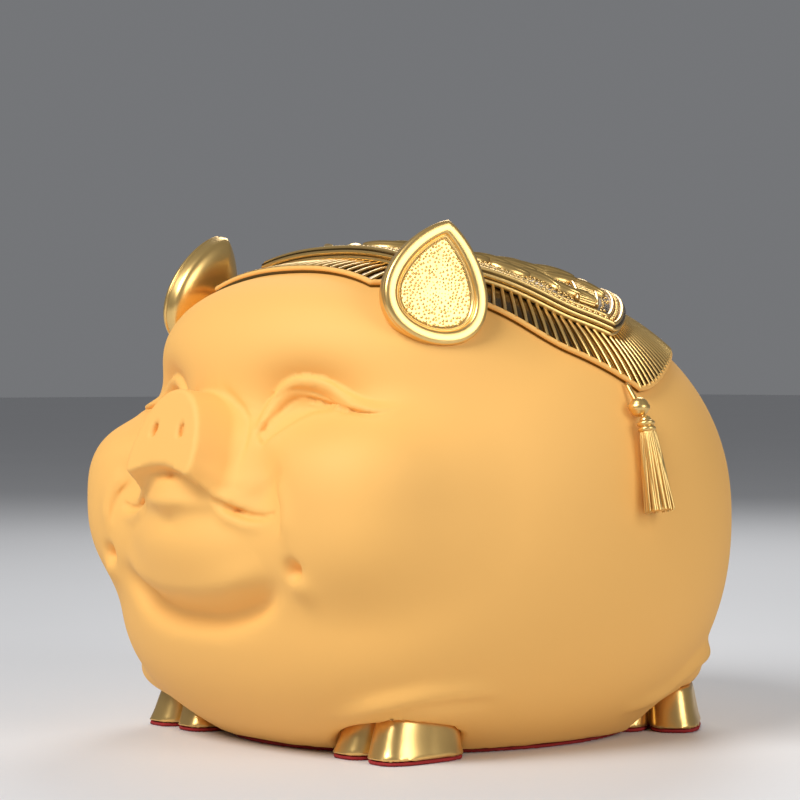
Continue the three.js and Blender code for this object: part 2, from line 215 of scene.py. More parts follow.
# the eye's lines, in millimetres around the head and up
UPPER_LID = fold_line((29.5, 105.5), (30, 112.5), (33.3, 118), (39.5, 122), (45, 123), (51, 122.7), (56.5, 121.3),
                      (62.5, 118.6), (69.7, 115.8), (78, 114.6), (88, 116))
LID_CREASE = fold_line((30.2, 109), (32, 114.3), (36.2, 118.1), (41.5, 119.7), (47.4, 119.2), (53.2, 117.6),
                       (59, 115.3), (64, 113.6))
EYE_SLIT = fold_line((30.5, 103.5), (33, 108.3), (36.2, 113), (40.6, 116), (46, 116.4), (51, 115.9), (56.2, 114.8),
                     (61.2, 113.6), (66, 112.8), (75, 112.1), (84.4, 114))
LOWER_LID = fold_line((34, 101), (39.6, 105.5), (45.7, 109.7), (50, 111.5), (54.6, 112.2), (60, 112.4), (65, 112.6))
HEAD_RADIUS = 95.0


def around_head(p):
    return np.stack([np.arctan2(p[..., 0], -p[..., 1]) * HEAD_RADIUS + 3.0, p[..., 2] + 1.0], -1).astype(np.float32)


def eyes(p, d):
    """Closed, smiling eyes: a lid with one crease over a thin slit."""
    near = (np.abs(d) < 18) & (p[..., 1] < 10) & (p[..., 2] > 84) & (p[..., 2] < 150)
    q = around_head(p[near])
    dd = d[near] + 7.0 * bump(q[..., 0] - 46, 22) * bump(q[..., 1] - 116.5, 10.5)
    d1, u1, s1 = along_line(q, UPPER_LID, 22)
    d2, u2, _ = along_line(q, LID_CREASE, 5)
    d3, u3, s3 = along_line(q, EYE_SLIT, 12)
    d4, u4, s4 = along_line(q, LOWER_LID, 10)
    above = 2.2 * ease(s1 / 1.8) * np.exp(-np.maximum(s1, 0) / 8)
    dd += np.where((s1 > 0) & (d1 < 100), above, 0) * fade_ends(u1, 0.14, 0.55)
    dd -= np.where(d1 < 100, 1.2 * bump(s1 + 1.6, 2.0), 0) * fade_ends(u1, 0.06, 0.25)
    dd += 0.6 * bump(d2, 0.5) * fade_ends(u2, 0.12, 0.35)
    dd += np.where(d3 < 100, 1.7 * bump(s3, 0.9), 0) * fade_ends(u3, 0.05, 0.5)
    dd += np.where((d3 < 100) & (u3 > 0.5), 0.6 * bump(s3, 0.6), 0) * ease((u3 - 0.45) / 0.15) * ease((1 - u3) / 0.3)
    between = (s3 < 0) & (s4 > 0) & (d3 < 100) & (d4 < 100)
    ball = 1.5 * ease(s4 / 1.4) * ease(-s3 / 0.5) - 0.5 * bump(s3 + 1.2, 0.7)
    dd += np.where(between, ball, 0) * fade_ends(u4, 0.02, 0.12)
    dd -= np.where((s4 <= 0) & (d4 < 100), 0.4 * bump(s4, 3.0), 0) * fade_ends(u4, 0.15, 0.3)
    out = d.copy()
    out[near] = dd
    return out


def mouth(p, d):
    """The folds round the mouth and the snout, the chin's lower edge and the dimples."""
    near = (np.abs(d) < 14) & (p[..., 1] < -45) & (p[..., 2] > 26) & (p[..., 2] < 130)
    q = p[near]
    x, y, z = q[:, 0], q[:, 1], q[:, 2]
    dd = d[near].copy()
    flat = np.ascontiguousarray(q[:, [0, 2]])
    dd += 1.4 * bump(z - 78.5, 2.6) * bump(x, 20) * (y < -85)
    df, uf, sf = along_line(flat, CHEEK_FOLD, 10)
    ends = fade_ends(uf, 0.25, 0.35)
    dd += np.where((df < 100) & (sf < 0), 0.4 * ease(-sf) * np.exp(np.minimum(sf, 0) / 3.2), 0) * ends
    dd -= np.where((df < 100) & (sf >= 0), 1.3 * bump(sf - 2.5, 3.5), 0) * ends
    dr, ur, _ = along_line(flat, SNOUT_RING, 8)
    dd += 0.8 * bump(dr, 1.3) * ease((1 - ur) / 0.3) * ease((ur - 0.1) / 0.25)
    h = ((x - 36) * 0.8 + (z - 89) * 0.6) / 9.5
    w = ((z - 89) * 0.8 - (x - 36) * 0.6) / 13
    dd += 5.2 * np.exp(-(h * h + w * w))
    dp, up, sp = along_line(flat, POUCH, 16)
    dd += np.where(dp < 100, 5.2 * bump(sp + 1.5, 4.6), 0) * ease((1 - up) / 0.45)
    dd -= np.where((dp < 100) & (sp > 0), 1.2 * bump(sp - 7, 4.5), 0) * ease((1 - up) / 0.45)
    dd += 4.2 * bump(np.hypot(x - 51, z - 62.5), 2.9)
    dd -= 1.6 * bump(np.hypot(x - 53.5, z - 56.5), 4.2)
    out = d.copy()
    out[near] = dd
    return out


def smile(p, d):
    """The mouth's groove out to its corner, with a soft roll over and under it."""
    near = (np.abs(d) < 7) & (p[..., 1] < -60) & (p[..., 2] > 68) & (p[..., 2] < 98) & (p[..., 0] > 8)
    q = p[near]
    dd = d[near].copy()
    ds, us, ss = along_line(np.ascontiguousarray(q[:, [0, 2]]), SMILE, 12)
    close = ds < 100
    start = ease((q[:, 0] - 17) / 8)
    groove = 2.8 * bump(ss + 0.7, 0.95) * (0.5 + 0.5 * ease((1 - us) * 2.5))
    dd += np.where(close, groove, 0) * start * ease((1 - us) / 0.12)
    dd -= np.where(close & (ss > -1), 1.2 * bump(ss - 2.0, 2.2), 0) * start * ease((1 - us) / 0.4)
    dd -= np.where(close & (ss < 0), 1.3 * bump(ss + 3.2, 2.4), 0) * start * ease((1 - us) / 0.3)
    out = d.copy()
    out[near] = dd
    return out


def lower_lip(p):
    """A shelf coming to a soft point in front, its face leaning back and its underside sloping in."""
    x, y, z = p[..., 0], p[..., 1], p[..., 2]
    t = np.clip(x / 34, 0, 1)
    edge = 0.034 * x * x - 106
    slope = 0.068 * x
    front = (edge + (z - 82.5) * 0.45 - y) / np.sqrt(1.2 + slope ** 2)
    low = 82.2 - 3.0 * t ** 2
    d = smooth_common(front, z - (89.8 - 9.5 * t ** 1.5), 1.5)
    d = smooth_common(d, (low - z) * 0.66 - (y - edge) * 0.75, 1.6)
    return np.maximum(d, y + 78) * 0.85


def leg_folds(p, d):
    """A soft roll over each leg, and the arch below it that the hoof comes out of."""
    near = (np.abs(d) < 14) & (p[..., 2] < 44) & (p[..., 0] > 20)
    q = p[near]
    dd = d[near].copy()
    for line, drop in ((FRONT_FOLD, 4.6), (REAR_FOLD, 4.6)):
        gap, share, _ = along_line(q, line, 14)
        ends = fade_ends(share, 0.35, 0.3)
        dd -= 2.6 * bump(gap, 3.2) * ends
        gap, share, _ = along_line(q + np.array((0, 0, drop), np.float32), line, 12)
        dd += 0.9 * bump(gap, 2.2) * fade_ends(share, 0.35, 0.2)
    for centre, radii in (((55, -51, 2), (23, 21, 12.5)), ((56, 70, 2), (24, 24, 12.5))):
        dd = smooth_common(dd, -ellipsoid(q, centre, radii), 2.6)
    out = d.copy()
    out[near] = dd
    return out


def outer_body(p):
    p = one_side(p)
    d = masses(p)
    d = smooth_union(d, ellipsoid(p, (0, -72, 88), (34, 23.5, 25)), 8)
    d = smooth_union(d, ellipsoid(p, (0, -77, 62), (46, 23, 16)), 3.5)
    d = smooth_union(d, ellipsoid(p, (50, -44, 20), (25, 25, 10)), 6)
    d = smooth_union(d, ellipsoid(p, (48, 62, 24), (24, 26, 14)), 6)
    d = leg_folds(p, d)
    d = mouth(p, eyes(p, d))
    d = smooth_union(d, snout(p), 2.2)
    d = smooth_union(d, ellipsoid(p, (0, -86, 89.5), (22, 13.5, 7)), 3)
    d = smooth_union(d, ellipsoid(p, (0, -80, 70), (35, 22.8, 14)), 7)
    d = smile(p, smooth_union(d, lower_lip(p), 2.6 + 0.4 * np.minimum(p[..., 0], 30)))
    return smooth_common(d, -nostril(p), 0.5)


# ---- hooves ----
def in_hoof(p, place):
    """Points in a hoof's own directions: toes towards -Y, standing on z = 0."""
    x, y, turn = place
    c, s = math.cos(math.radians(turn)), math.sin(math.radians(turn))
    dx, dy = p[..., 0] - x, p[..., 1] - y
    return np.stack([dx * c + dy * s, dy * c - dx * s, p[..., 2]], -1)


def toes(p):
    """Two toes, flared at the sole and parted by a cleft."""
    low = np.exp(-np.maximum(p[..., 2] - BASE_Z, 0) / 4.5)
    grow = 1 + 0.10 * low
    q = np.stack([np.abs(p[..., 0]) / grow, p[..., 1] / grow, p[..., 2]], -1)
    lean = 0.16 * (q[..., 2] - 4)
    q = np.stack([q[..., 0] + 0.35 * lean, q[..., 1] - lean, q[..., 2]], -1)
    toe = square_ellipsoid(q, (7.9, 0, -2), (8.3, 15.6, 26), 2.9)
    heel = square_ellipsoid(q, (0, 5, -2), (15.2, 9.5, 26), 3.2)
    d = smooth_union(toe, heel, 2.0)
    return smooth_common(d, p[..., 2] - 15.2, 1.0)


def hoof_pocket(p, grow):
    p = one_side(p)
    d = np.minimum(toes(in_hoof(p, FRONT_HOOF)), toes(in_hoof(p, REAR_HOOF)))
    return d - grow


def oval(p, half_x, half_y, centre_y):
    q = np.stack([p[..., 0] / half_x, (p[..., 1] - centre_y) / half_y], -1)
    return (np.linalg.norm(q, axis=-1) - 1) * min(half_x, half_y)


def body_shell(p, wall=6.0):
    """The hollow body, open below for its base plate and above for coins."""
    z = p[..., 2]
    side = one_side(p)
    d = outer_body(p)
    pockets = hoof_pocket(p, 0.3)
    inside = np.maximum(masses(side) + wall, INSIDE_FLOOR - z)
    inside = np.maximum(inside, -np.maximum(pockets - wall, z - 22))
    inside = np.maximum(inside, FACE_BACK - p[..., 1])
    d = np.maximum(d, -inside)
    d = np.maximum(d, -np.maximum(pockets, z - 15.6))
    d = np.maximum(d, BASE_Z - z)
    rebate = np.maximum(oval(p, *PLATE_HALF, PLATE_Y), z - BASE_Z - PLATE_THICKNESS)
    d = np.maximum(d, -rebate)
    d = np.maximum(d, -np.maximum(oval(p, *PLATE_MOUTH, PLATE_Y), z - INSIDE_FLOOR - 3))
    slot = np.maximum(np.abs(p[..., 0]) - SLOT["width"] / 2, np.abs(p[..., 1] - SLOT["y"]) - SLOT["length"] / 2)
    return np.maximum(d, -np.maximum(slot, 100 - z))


# ---- meshes from fields ----
def in_chunks(field, points, size=200000):
    return np.concatenate([field(points[i:i + size]) for i in range(0, len(points), size)])


def skin(field, low, high, step):
    """Quads round a field's inside, one point for each cell that its surface crosses."""
    axes = [np.arange(a, b + step, step, dtype=np.float32) for a, b in zip(low, high)]
    shape = tuple(len(a) for a in axes)
    grid = np.stack(np.meshgrid(*axes, indexing="ij"), -1).reshape(-1, 3)
    f = in_chunks(field, grid).reshape(shape)
    inside = f < 0
    cells = tuple(n - 1 for n in shape)
    total = np.zeros(cells + (3,), np.float32)
    count = np.zeros(cells, np.float32)
    crossings = []
    for axis in range(3):
        first = [slice(None)] * 3
        second = [slice(None)] * 3
        first[axis], second[axis] = slice(0, -1), slice(1, None)
        fa, fb = f[tuple(first)], f[tuple(second)]
        cross = inside[tuple(first)] != inside[tuple(second)]
        where = np.argwhere(cross)
        t = fa[cross] / (fa[cross] - fb[cross])
        place = where.astype(np.float32)
        place[:, axis] += t
        crossings.append((where, inside[tuple(first)][cross]))
        u, v = [a for a in range(3) if a != axis]
        for du in (0, -1):
            for dv in (0, -1):
                cell = where.copy()
                cell[:, u] += du
                cell[:, v] += dv
                good = np.all((cell >= 0) & (cell < cells), axis=1)
                index = tuple(cell[good].T)
                np.add.at(total, index, place[good])
                np.add.at(count, index, 1)
    used = count > 0
    number = np.full(cells, -1, int)
    number[used] = np.arange(used.sum())
    points = np.array(low, np.float32) + total[used] / count[used][:, None] * step
    faces = []
    for axis, (where, first_inside) in enumerate(crossings):
        u, v = [(1, 2), (2, 0), (0, 1)][axis]
        ring = []
        for du, dv in ((0, 0), (-1, 0), (-1, -1), (0, -1)):
            cell = where.copy()
            cell[:, u] += du
            cell[:, v] += dv
            ring.append(number[tuple(np.clip(cell, 0, np.array(cells) - 1).T)])
        quad = np.stack(ring, -1)
        quad[~first_inside] = quad[~first_inside][:, ::-1]
        faces.append(quad)
    return points, np.concatenate(faces)


def gradient(field, points, e=0.12):
    steps = np.eye(3, dtype=np.float32) * e
    return np.stack([in_chunks(field, points + s) - in_chunks(field, points - s) for s in steps], -1) / (2 * e)


def settle(field, points, rounds, most=1.0):
    """Moves points onto a field's surface."""
    for _ in range(rounds):
        d = in_chunks(field, points)
        g = gradient(field, points)
        move = d[:, None] * g / np.maximum((g * g).sum(-1), 0.15)[:, None]
        size = np.linalg.norm(move, axis=1)
        points = (points - move * np.minimum(1, most / np.maximum(size, 1e-6))[:, None]).astype(np.float32)
    return points


# ---- objects ----
def link(name, mesh, finish=None, smooth=True):
    piece = bpy.data.objects.new(name, mesh)
    bpy.context.scene.collection.objects.link(piece)
    if finish is not None:
        mesh.materials.clear()
        mesh.materials.append(finish)
    if smooth:
        mesh.polygons.foreach_set("use_smooth", np.ones(len(mesh.polygons), bool))
    return piece


def make_mesh(name, points, faces=(), edges=()):
    """A mesh from points in millimetres, moved to the frame and turned to metres."""
    points = np.asarray(points, float)
    mesh = bpy.data.meshes.new(name)
    mesh.from_pydata(((points + (0, SHIFT, 0)) * MM).tolist(), [list(e) for e in edges], [list(f) for f in faces])
    mesh.update()
    return mesh


def mesh_points(mesh):
    points = np.zeros(len(mesh.vertices) * 3, np.float32)
    mesh.vertices.foreach_get("co", points)
    return points.reshape(-1, 3) / MM - (0, SHIFT, 0)


def set_mesh_points(mesh, points):
    mesh.vertices.foreach_set("co", ((points + (0, SHIFT, 0)) * MM).astype(np.float32).ravel())
    mesh.update()


def mirror(points, faces):
    """The same shape on the other side, with its faces still outwards."""
    return points * (-1, 1, 1), [tuple(reversed(f)) for f in faces]


def join(parts):
    """Several (points, faces) as one."""
    points, faces, start = [], [], 0
    for p, f in parts:
        points.append(np.asarray(p, float))
        faces += [tuple(i + start for i in face) for face in f]
        start += len(p)
    return np.vstack(points), faces


def grid_faces(rows, columns, wrap=False):
    faces = []
    for i in range(rows - 1):
        for j in range(columns if wrap else columns - 1):
            k = (j + 1) % columns
            faces.append((i * columns + j, i * columns + k, (i + 1) * columns + k, (i + 1) * columns + j))
    return faces


def capped_faces(rings, sides):
    """Faces of rings of points between two single end points."""
    base = 1 + (rings - 1) * sides
    last = base + sides
    faces = [(0, 1 + (j + 1) % sides, 1 + j) for j in range(sides)]
    faces += [tuple(i + 1 for i in f) for f in grid_faces(rings, sides, wrap=True)]
    return faces + [(last, base + j, base + (j + 1) % sides) for j in range(sides)]


def lathe(start, direction, profile, sides):
    """A closed shape turned round a line; profile is (radius, distance along) from one pole to the other."""
    start, w = np.array(start, float), np.array(direction, float)
    w /= np.linalg.norm(w)
    u = np.cross(w, (0, 1, 0))
    u /= np.linalg.norm(u)
    v = np.cross(w, u)
    angle = np.linspace(0, 2 * math.pi, sides, endpoint=False)
    rings = profile[1:-1]
    points = [start + w * profile[0][1]]
    for r, d in rings:
        points += list(start + w * d + r * (np.outer(np.cos(angle), u) + np.outer(np.sin(angle), v)))
    points.append(start + w * profile[-1][1])
    return np.array(points), capped_faces(len(rings), sides)


def rod(line, radii, sides=16):
    """A closed round rod along points, rounded at its far end."""
    line = np.asarray(line, float)
    way = np.gradient(line, axis=0)
    way /= np.linalg.norm(way, axis=1)[:, None]
    u = np.cross(way[0], (0.3, 0.2, 1))
    rings = []
    angle = np.linspace(0, 2 * math.pi, sides, endpoint=False)
    for p, w, r in zip(line, way, radii):
        u = u - w * (u @ w)
        u /= np.linalg.norm(u)
        rings.append(p + r * (np.outer(np.cos(angle), u) + np.outer(np.sin(angle), np.cross(w, u))))
    points = np.vstack([line[:1]] + rings + [line[-1:] + way[-1:] * radii[-1] * 0.3])
    return points, capped_faces(len(line), sides)


def outwards(mesh):
    work = bmesh.new()
    work.from_mesh(mesh)
    bmesh.ops.recalc_face_normals(work, faces=work.faces)
    work.to_mesh(mesh)
    work.free()
    return mesh


def finish_piece(piece, body, slot, *nodes):
    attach(piece, body)
    if nodes:
        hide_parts(*nodes)
    return piece


# ---- Geometry Nodes ----
def new_tree(name, inputs):
    """A tree with a geometry input and named inputs: {name: (socket type, default)}."""
    tree = bpy.data.node_groups.new(name, "GeometryNodeTree")
    tree.interface.new_socket("Geometry", in_out="INPUT", socket_type="NodeSocketGeometry")
    tree.interface.new_socket("Geometry", in_out="OUTPUT", socket_type="NodeSocketGeometry")
    for label, (kind, default) in inputs.items():
        item = tree.interface.new_socket(label, in_out="INPUT", socket_type=kind)
        if default is not None:
            item.default_value = default
    return tree, tree.nodes.new("NodeGroupInput"), tree.nodes.new("NodeGroupOutput")


def tree_node(tree, kind, settings=None, inputs=None):
    node = tree.nodes.new(kind)
    for key, value in (settings or {}).items():
        setattr(node, key, value)
    for key, value in (inputs or {}).items():
        if isinstance(value, bpy.types.NodeSocket):
            tree.links.new(value, node.inputs[key])
        else:
            node.inputs[key].default_value = value
    return node


def end_tree(tree, given, result, geometry):
    real = tree_node(tree, "GeometryNodeRealizeInstances", inputs={"Geometry": geometry})
    soft = tree_node(tree, "GeometryNodeSetShadeSmooth", inputs={"Geometry": real.outputs[0]})
    coat = tree_node(tree, "GeometryNodeSetMaterial", inputs={
        "Geometry": soft.outputs[0], "Material": given.outputs["Finish"]})
    tree.links.new(coat.outputs[0], result.inputs[0])
    return tree


def strand_tree():
    """Round strands along the edges of a mesh: ribs, piping and tassel threads."""
    tree, given, result = new_tree("Strands", {
        "Radius": ("NodeSocketFloat", 0.0005),
        "Sides": ("NodeSocketInt", 8),
        "Finish": ("NodeSocketMaterial", None),
    })
    lines = tree_node(tree, "GeometryNodeMeshToCurve", inputs={"Mesh": given.outputs["Geometry"]})
    ring = tree_node(tree, "GeometryNodeCurvePrimitiveCircle", {"mode": "RADIUS"},
                     {"Radius": given.outputs["Radius"], "Resolution": given.outputs["Sides"]})
    tube = tree_node(tree, "GeometryNodeCurveToMesh", inputs={
        "Curve": lines.outputs[0], "Profile Curve": ring.outputs[0], "Fill Caps": True})
    return end_tree(tree, given, result, tube.outputs[0])


def bead_tree():
    """Round beads at an even spacing along the edges of a mesh."""
    tree, given, result = new_tree("Beads", {
        "Radius": ("NodeSocketFloat", 0.0009),
        "Spacing": ("NodeSocketFloat", 0.0024),
        "Finish": ("NodeSocketMaterial", None),
    })
    lines = tree_node(tree, "GeometryNodeMeshToCurve", inputs={"Mesh": given.outputs["Geometry"]})
    spots = tree_node(tree, "GeometryNodeCurveToPoints", {"mode": "LENGTH"},
                      {"Curve": lines.outputs[0], "Length": given.outputs["Spacing"]})
    ball = tree_node(tree, "GeometryNodeMeshUVSphere", inputs={
        "Segments": 10, "Rings": 6, "Radius": given.outputs["Radius"]})
    placed = tree_node(tree, "GeometryNodeInstanceOnPoints", inputs={
        "Points": spots.outputs[0], "Instance": ball.outputs[0], "Rotation": spots.outputs["Rotation"]})
    return end_tree(tree, given, result, placed.outputs[0])


def pebble_tree():
    """Small flat pebbles scattered over a surface, none closer than the spacing."""
    tree, given, result = new_tree("Pebbles", {
        "Radius": ("NodeSocketFloat", 0.0006),
        "Spacing": ("NodeSocketFloat", 0.0012),
        "Flatness": ("NodeSocketFloat", 0.6),
        "Seed": ("NodeSocketInt", 3),
        "Finish": ("NodeSocketMaterial", None),
    })
    spots = tree_node(tree, "GeometryNodeDistributePointsOnFaces", {"distribute_method": "POISSON"}, {
        "Mesh": given.outputs["Geometry"], "Distance Min": given.outputs["Spacing"],
        "Density Max": 3.0e6, "Seed": given.outputs["Seed"]})
    ball = tree_node(tree, "GeometryNodeMeshIcoSphere", inputs={"Radius": given.outputs["Radius"], "Subdivisions": 1})
    size = tree_node(tree, "FunctionNodeRandomValue", {"data_type": "FLOAT"}, {"Seed": given.outputs["Seed"]})
    size.inputs[2].default_value, size.inputs[3].default_value = 0.75, 1.15
    squash = tree_node(tree, "ShaderNodeCombineXYZ", inputs={"X": 1.0, "Y": 1.0, "Z": given.outputs["Flatness"]})
    scale = tree_node(tree, "ShaderNodeVectorMath", {"operation": "SCALE"},
                      {"Vector": squash.outputs[0], "Scale": size.outputs[1]})
    placed = tree_node(tree, "GeometryNodeInstanceOnPoints", inputs={
        "Points": spots.outputs[0], "Instance": ball.outputs[0], "Rotation": spots.outputs["Rotation"],
        "Scale": scale.outputs[0]})
    return end_tree(tree, given, result, placed.outputs[0])


def grow(name, tree, source, values):
    """The mesh that a tree makes from a source mesh."""
    carrier = bpy.data.objects.new(name + "_source", source)
    bpy.context.scene.collection.objects.link(carrier)
    modifier = carrier.modifiers.new("Tree", "NODES")
    modifier.node_group = tree
    sockets = {item.name: item.identifier for item in tree.interface.items_tree if item.in_out == "INPUT"}
    for label, value in values.items():
        modifier[sockets[label]] = value
    bpy.context.view_layer.update()
    depsgraph = bpy.context.evaluated_depsgraph_get()
    mesh = bpy.data.meshes.new_from_object(carrier.evaluated_get(depsgraph))
    carrier.modifiers.remove(modifier)
    bpy.data.objects.remove(carrier)
    bpy.data.meshes.remove(source)
    if not len(mesh.polygons):
        raise RuntimeError(f"{name}: the tree made nothing")
    mesh.name = name
    return mesh


def lines_mesh(name, lines, closed=False):
    """Polylines in millimetres as a mesh of edges."""
    points, edges, start = [], [], 0
    for line in lines:
        n = len(line)
        points.append(np.asarray(line, float))
        edges += [(start + i, start + i + 1) for i in range(n - 1)]
        if closed:
            edges.append((start + n - 1, start))
        start += n
    return make_mesh(name, np.vstack(points), edges=edges)


# ---- the back that the cloths lie on ----
class Back:
    """The height of the back over a plan grid, and points lifted off it."""

    def __init__(self, step=1.0):
        self.low = np.array((-100.0, -66.0))
        self.step = step
        xs, ys = np.arange(-100, 100.1, step), np.arange(-66, 110.1, step)
        x, y = np.meshgrid(xs, ys, indexing="ij")
        flat = np.stack([np.abs(x).ravel(), y.ravel()], -1)
        low, high = np.full(len(flat), 60.0), np.full(len(flat), 175.0)
        for _ in range(16):
            middle = (low + high) / 2
            out = masses(np.column_stack([flat, middle]).astype(np.float32)) > 0
            high = np.where(out, middle, high)
            low = np.where(out, low, middle)
        self.height = low.reshape(x.shape)
        self.slope = np.stack(np.gradient(self.height, step), -1)

    def sample(self, table, x, y):
        fx = np.clip((x - self.low[0]) / self.step, 0, table.shape[0] - 1.001)
        fy = np.clip((y - self.low[1]) / self.step, 0, table.shape[1] - 1.001)
        i, j = fx.astype(int), fy.astype(int)
        a, b = fx - i, fy - j
        if table.ndim == 3:
            a, b = a[..., None], b[..., None]
        return (table[i, j] * (1 - a) * (1 - b) + table[i + 1, j] * a * (1 - b)
                + table[i, j + 1] * (1 - a) * b + table[i + 1, j + 1] * a * b)

    def normals(self, x, y):
        s = self.sample(self.slope, x, y)
        n = np.stack([-s[..., 0], -s[..., 1], np.ones_like(s[..., 0])], -1)
        return n / np.linalg.norm(n, axis=-1)[..., None]

    def lift(self, xy, height):
        xy = np.asarray(xy, float)
        x, y = xy[..., 0], xy[..., 1]
        ground = np.stack([x, y, self.sample(self.height, x, y)], -1)
        return ground + self.normals(x, y) * np.asarray(height)[..., None]


def cloth_plan(cloth, across, along):
    """Plan place of a cloth's point: across from -1 to 1, along from the straight front to the round rear."""
    across, along = np.asarray(across, float), np.asarray(along, float)
    back = (1 - along) * (cloth["corner"] - cloth["front"])
    half = cloth["corner_x"] - cloth["slope"] * back - cloth["bend"] * back ** 2
    power = cloth["power"]
    bulge = cloth["rear"] * np.maximum(0, 1 - np.abs(across) ** power) ** (1 / power)
    return np.stack([across * half, cloth["front"] + along * (cloth["corner"] + bulge - cloth["front"])], -1)


def even(line, count):
    """The same line with evenly spaced points."""
    length = np.concatenate([[0], np.cumsum(np.linalg.norm(np.diff(line, axis=0), axis=1))])
    t = np.linspace(0, length[-1], count)
    return np.stack([np.interp(t, length, line[:, i]) for i in range(line.shape[1])], -1)


def cloth_sides(back, cloth, count):
    """Plan lines of a cloth's four edges, each evenly spaced over the back: front, left side, rear, right side."""
    t = np.linspace(0, 1, 200)
    edges = [
        cloth_plan(cloth, 2 * t - 1, 0 * t),
        cloth_plan(cloth, 1 + 0 * t, t),
        cloth_plan(cloth, 1 - 2 * t, 1 + 0 * t),
        cloth_plan(cloth, -1 + 0 * t, 1 - t),
    ]
    return [even(back.lift(edge, 0 * t), n)[:, :2] for edge, n in zip(edges, count)]


def cloth_outline(back, cloth, spacing=1.2):
    """Closed plan line round a cloth."""
    lengths = [np.linalg.norm(np.diff(back.lift(s, np.zeros(len(s))), axis=0), axis=1).sum()
               for s in cloth_sides(back, cloth, (160, 160, 160, 160))]
    sides = cloth_sides(back, cloth, [max(6, int(n / spacing)) for n in lengths])
    return np.vstack([s[:-1] for s in sides])


def inset(back, outline, distance):
    """A line inside an outline, at an even distance over the back."""
    p = back.lift(outline, np.zeros(len(outline)))
    way = np.roll(p, -1, 0) - np.roll(p, 1, 0)
    way /= np.linalg.norm(way, axis=1)[:, None]
    inward = np.cross(back.normals(outline[:, 0], outline[:, 1]), way)
    moved = (p + inward * distance)[:, :2]
    q = back.lift(moved, np.zeros(len(moved)))
    gap = np.sqrt(((q[:, None] - p[None]) ** 2).sum(-1)).min(1)
    return moved[gap > distance * 0.93]


def within(points, outline):
    """Which plan points are inside a closed outline."""
    x, y = points[:, 0], points[:, 1]
    inside = np.zeros(len(points), bool)
    for (x0, y0), (x1, y1) in zip(outline, np.roll(outline, -1, 0)):
        if y0 == y1:
            continue
        crosses = (y0 > y) != (y1 > y)
        inside ^= crosses & (x < (x1 - x0) * (y - y0) / (y1 - y0) + x0)
    return inside


def slab_faces(rows, columns):
    """A grid, the same grid turned over below it, and the wall round them."""
    n = rows * columns
    faces = grid_faces(rows, columns)
    faces += [tuple(i + n for i in reversed(f)) for f in grid_faces(rows, columns)]
    rim = ([j for j in range(columns)] + [i * columns + columns - 1 for i in range(1, rows)]
           + [(rows - 1) * columns + j for j in range(columns - 2, -1, -1)]
           + [i * columns for i in range(rows - 2, 0, -1)])
    return faces + [(b, a, a + n, b + n) for a, b in zip(rim, rim[1:] + rim[:1])]


def cloth_slab(back, cloth, low, high, columns, rows):
    """A closed sheet laid on the back, between two heights above it."""
    across, along = np.meshgrid(np.linspace(-1, 1, columns), np.linspace(0, 1, rows), indexing="xy")
    plan = cloth_plan(cloth, across.ravel(), along.ravel())
    top, bottom = (back.lift(plan, np.full(len(plan), height)) for height in (high, low))
    return np.vstack([top, bottom]), slab_faces(rows, columns)


def cut_slot(piece, width, length):
    """Cuts the coin slot through a piece."""
    half_x, half_y, y = width / 2, length / 2, SLOT["y"]
    corners = [(sx * half_x, y + sy * half_y, z) for z in (120, 185) for sy in (-1, 1) for sx in (-1, 1)]
    faces = [(0, 2, 3, 1), (4, 5, 7, 6), (0, 1, 5, 4), (2, 6, 7, 3), (0, 4, 6, 2), (1, 3, 7, 5)]
    cutter = link("slot_cutter", outwards(make_mesh("slot_cutter", corners, faces)), smooth=False)
    modifier = piece.modifiers.new("Slot", "BOOLEAN")
    modifier.operation = "DIFFERENCE"
    modifier.solver = "EXACT"
    modifier.object = cutter
    bpy.context.view_layer.update()
    mesh = bpy.data.meshes.new_from_object(piece.evaluated_get(bpy.context.evaluated_depsgraph_get()))
    piece.modifiers.remove(modifier)
    piece.data = mesh
    bpy.data.objects.remove(cutter)
    return piece


# ---- finishes ----
class Number:
    """A number on a finish's surface; sums on it add Math nodes."""

    def __init__(self, tree, socket):
        self.tree = tree
        self.socket = socket

    def _with(self, operation, other, swapped=False):
        node = self.tree.nodes.new("ShaderNodeMath")
        node.operation = operation
        for slot, value in zip(node.inputs, (other, self) if swapped else (self, other)):
            if isinstance(value, Number):
                self.tree.links.new(value.socket, slot)
            else:
                slot.default_value = value
        return Number(self.tree, node.outputs[0])

    def __add__(self, other):
        return self._with("ADD", other)

    def __radd__(self, other):
        return self._with("ADD", other, True)

    def __mul__(self, other):
        return self._with("MULTIPLY", other)

    def __rmul__(self, other):
        return self._with("MULTIPLY", other, True)


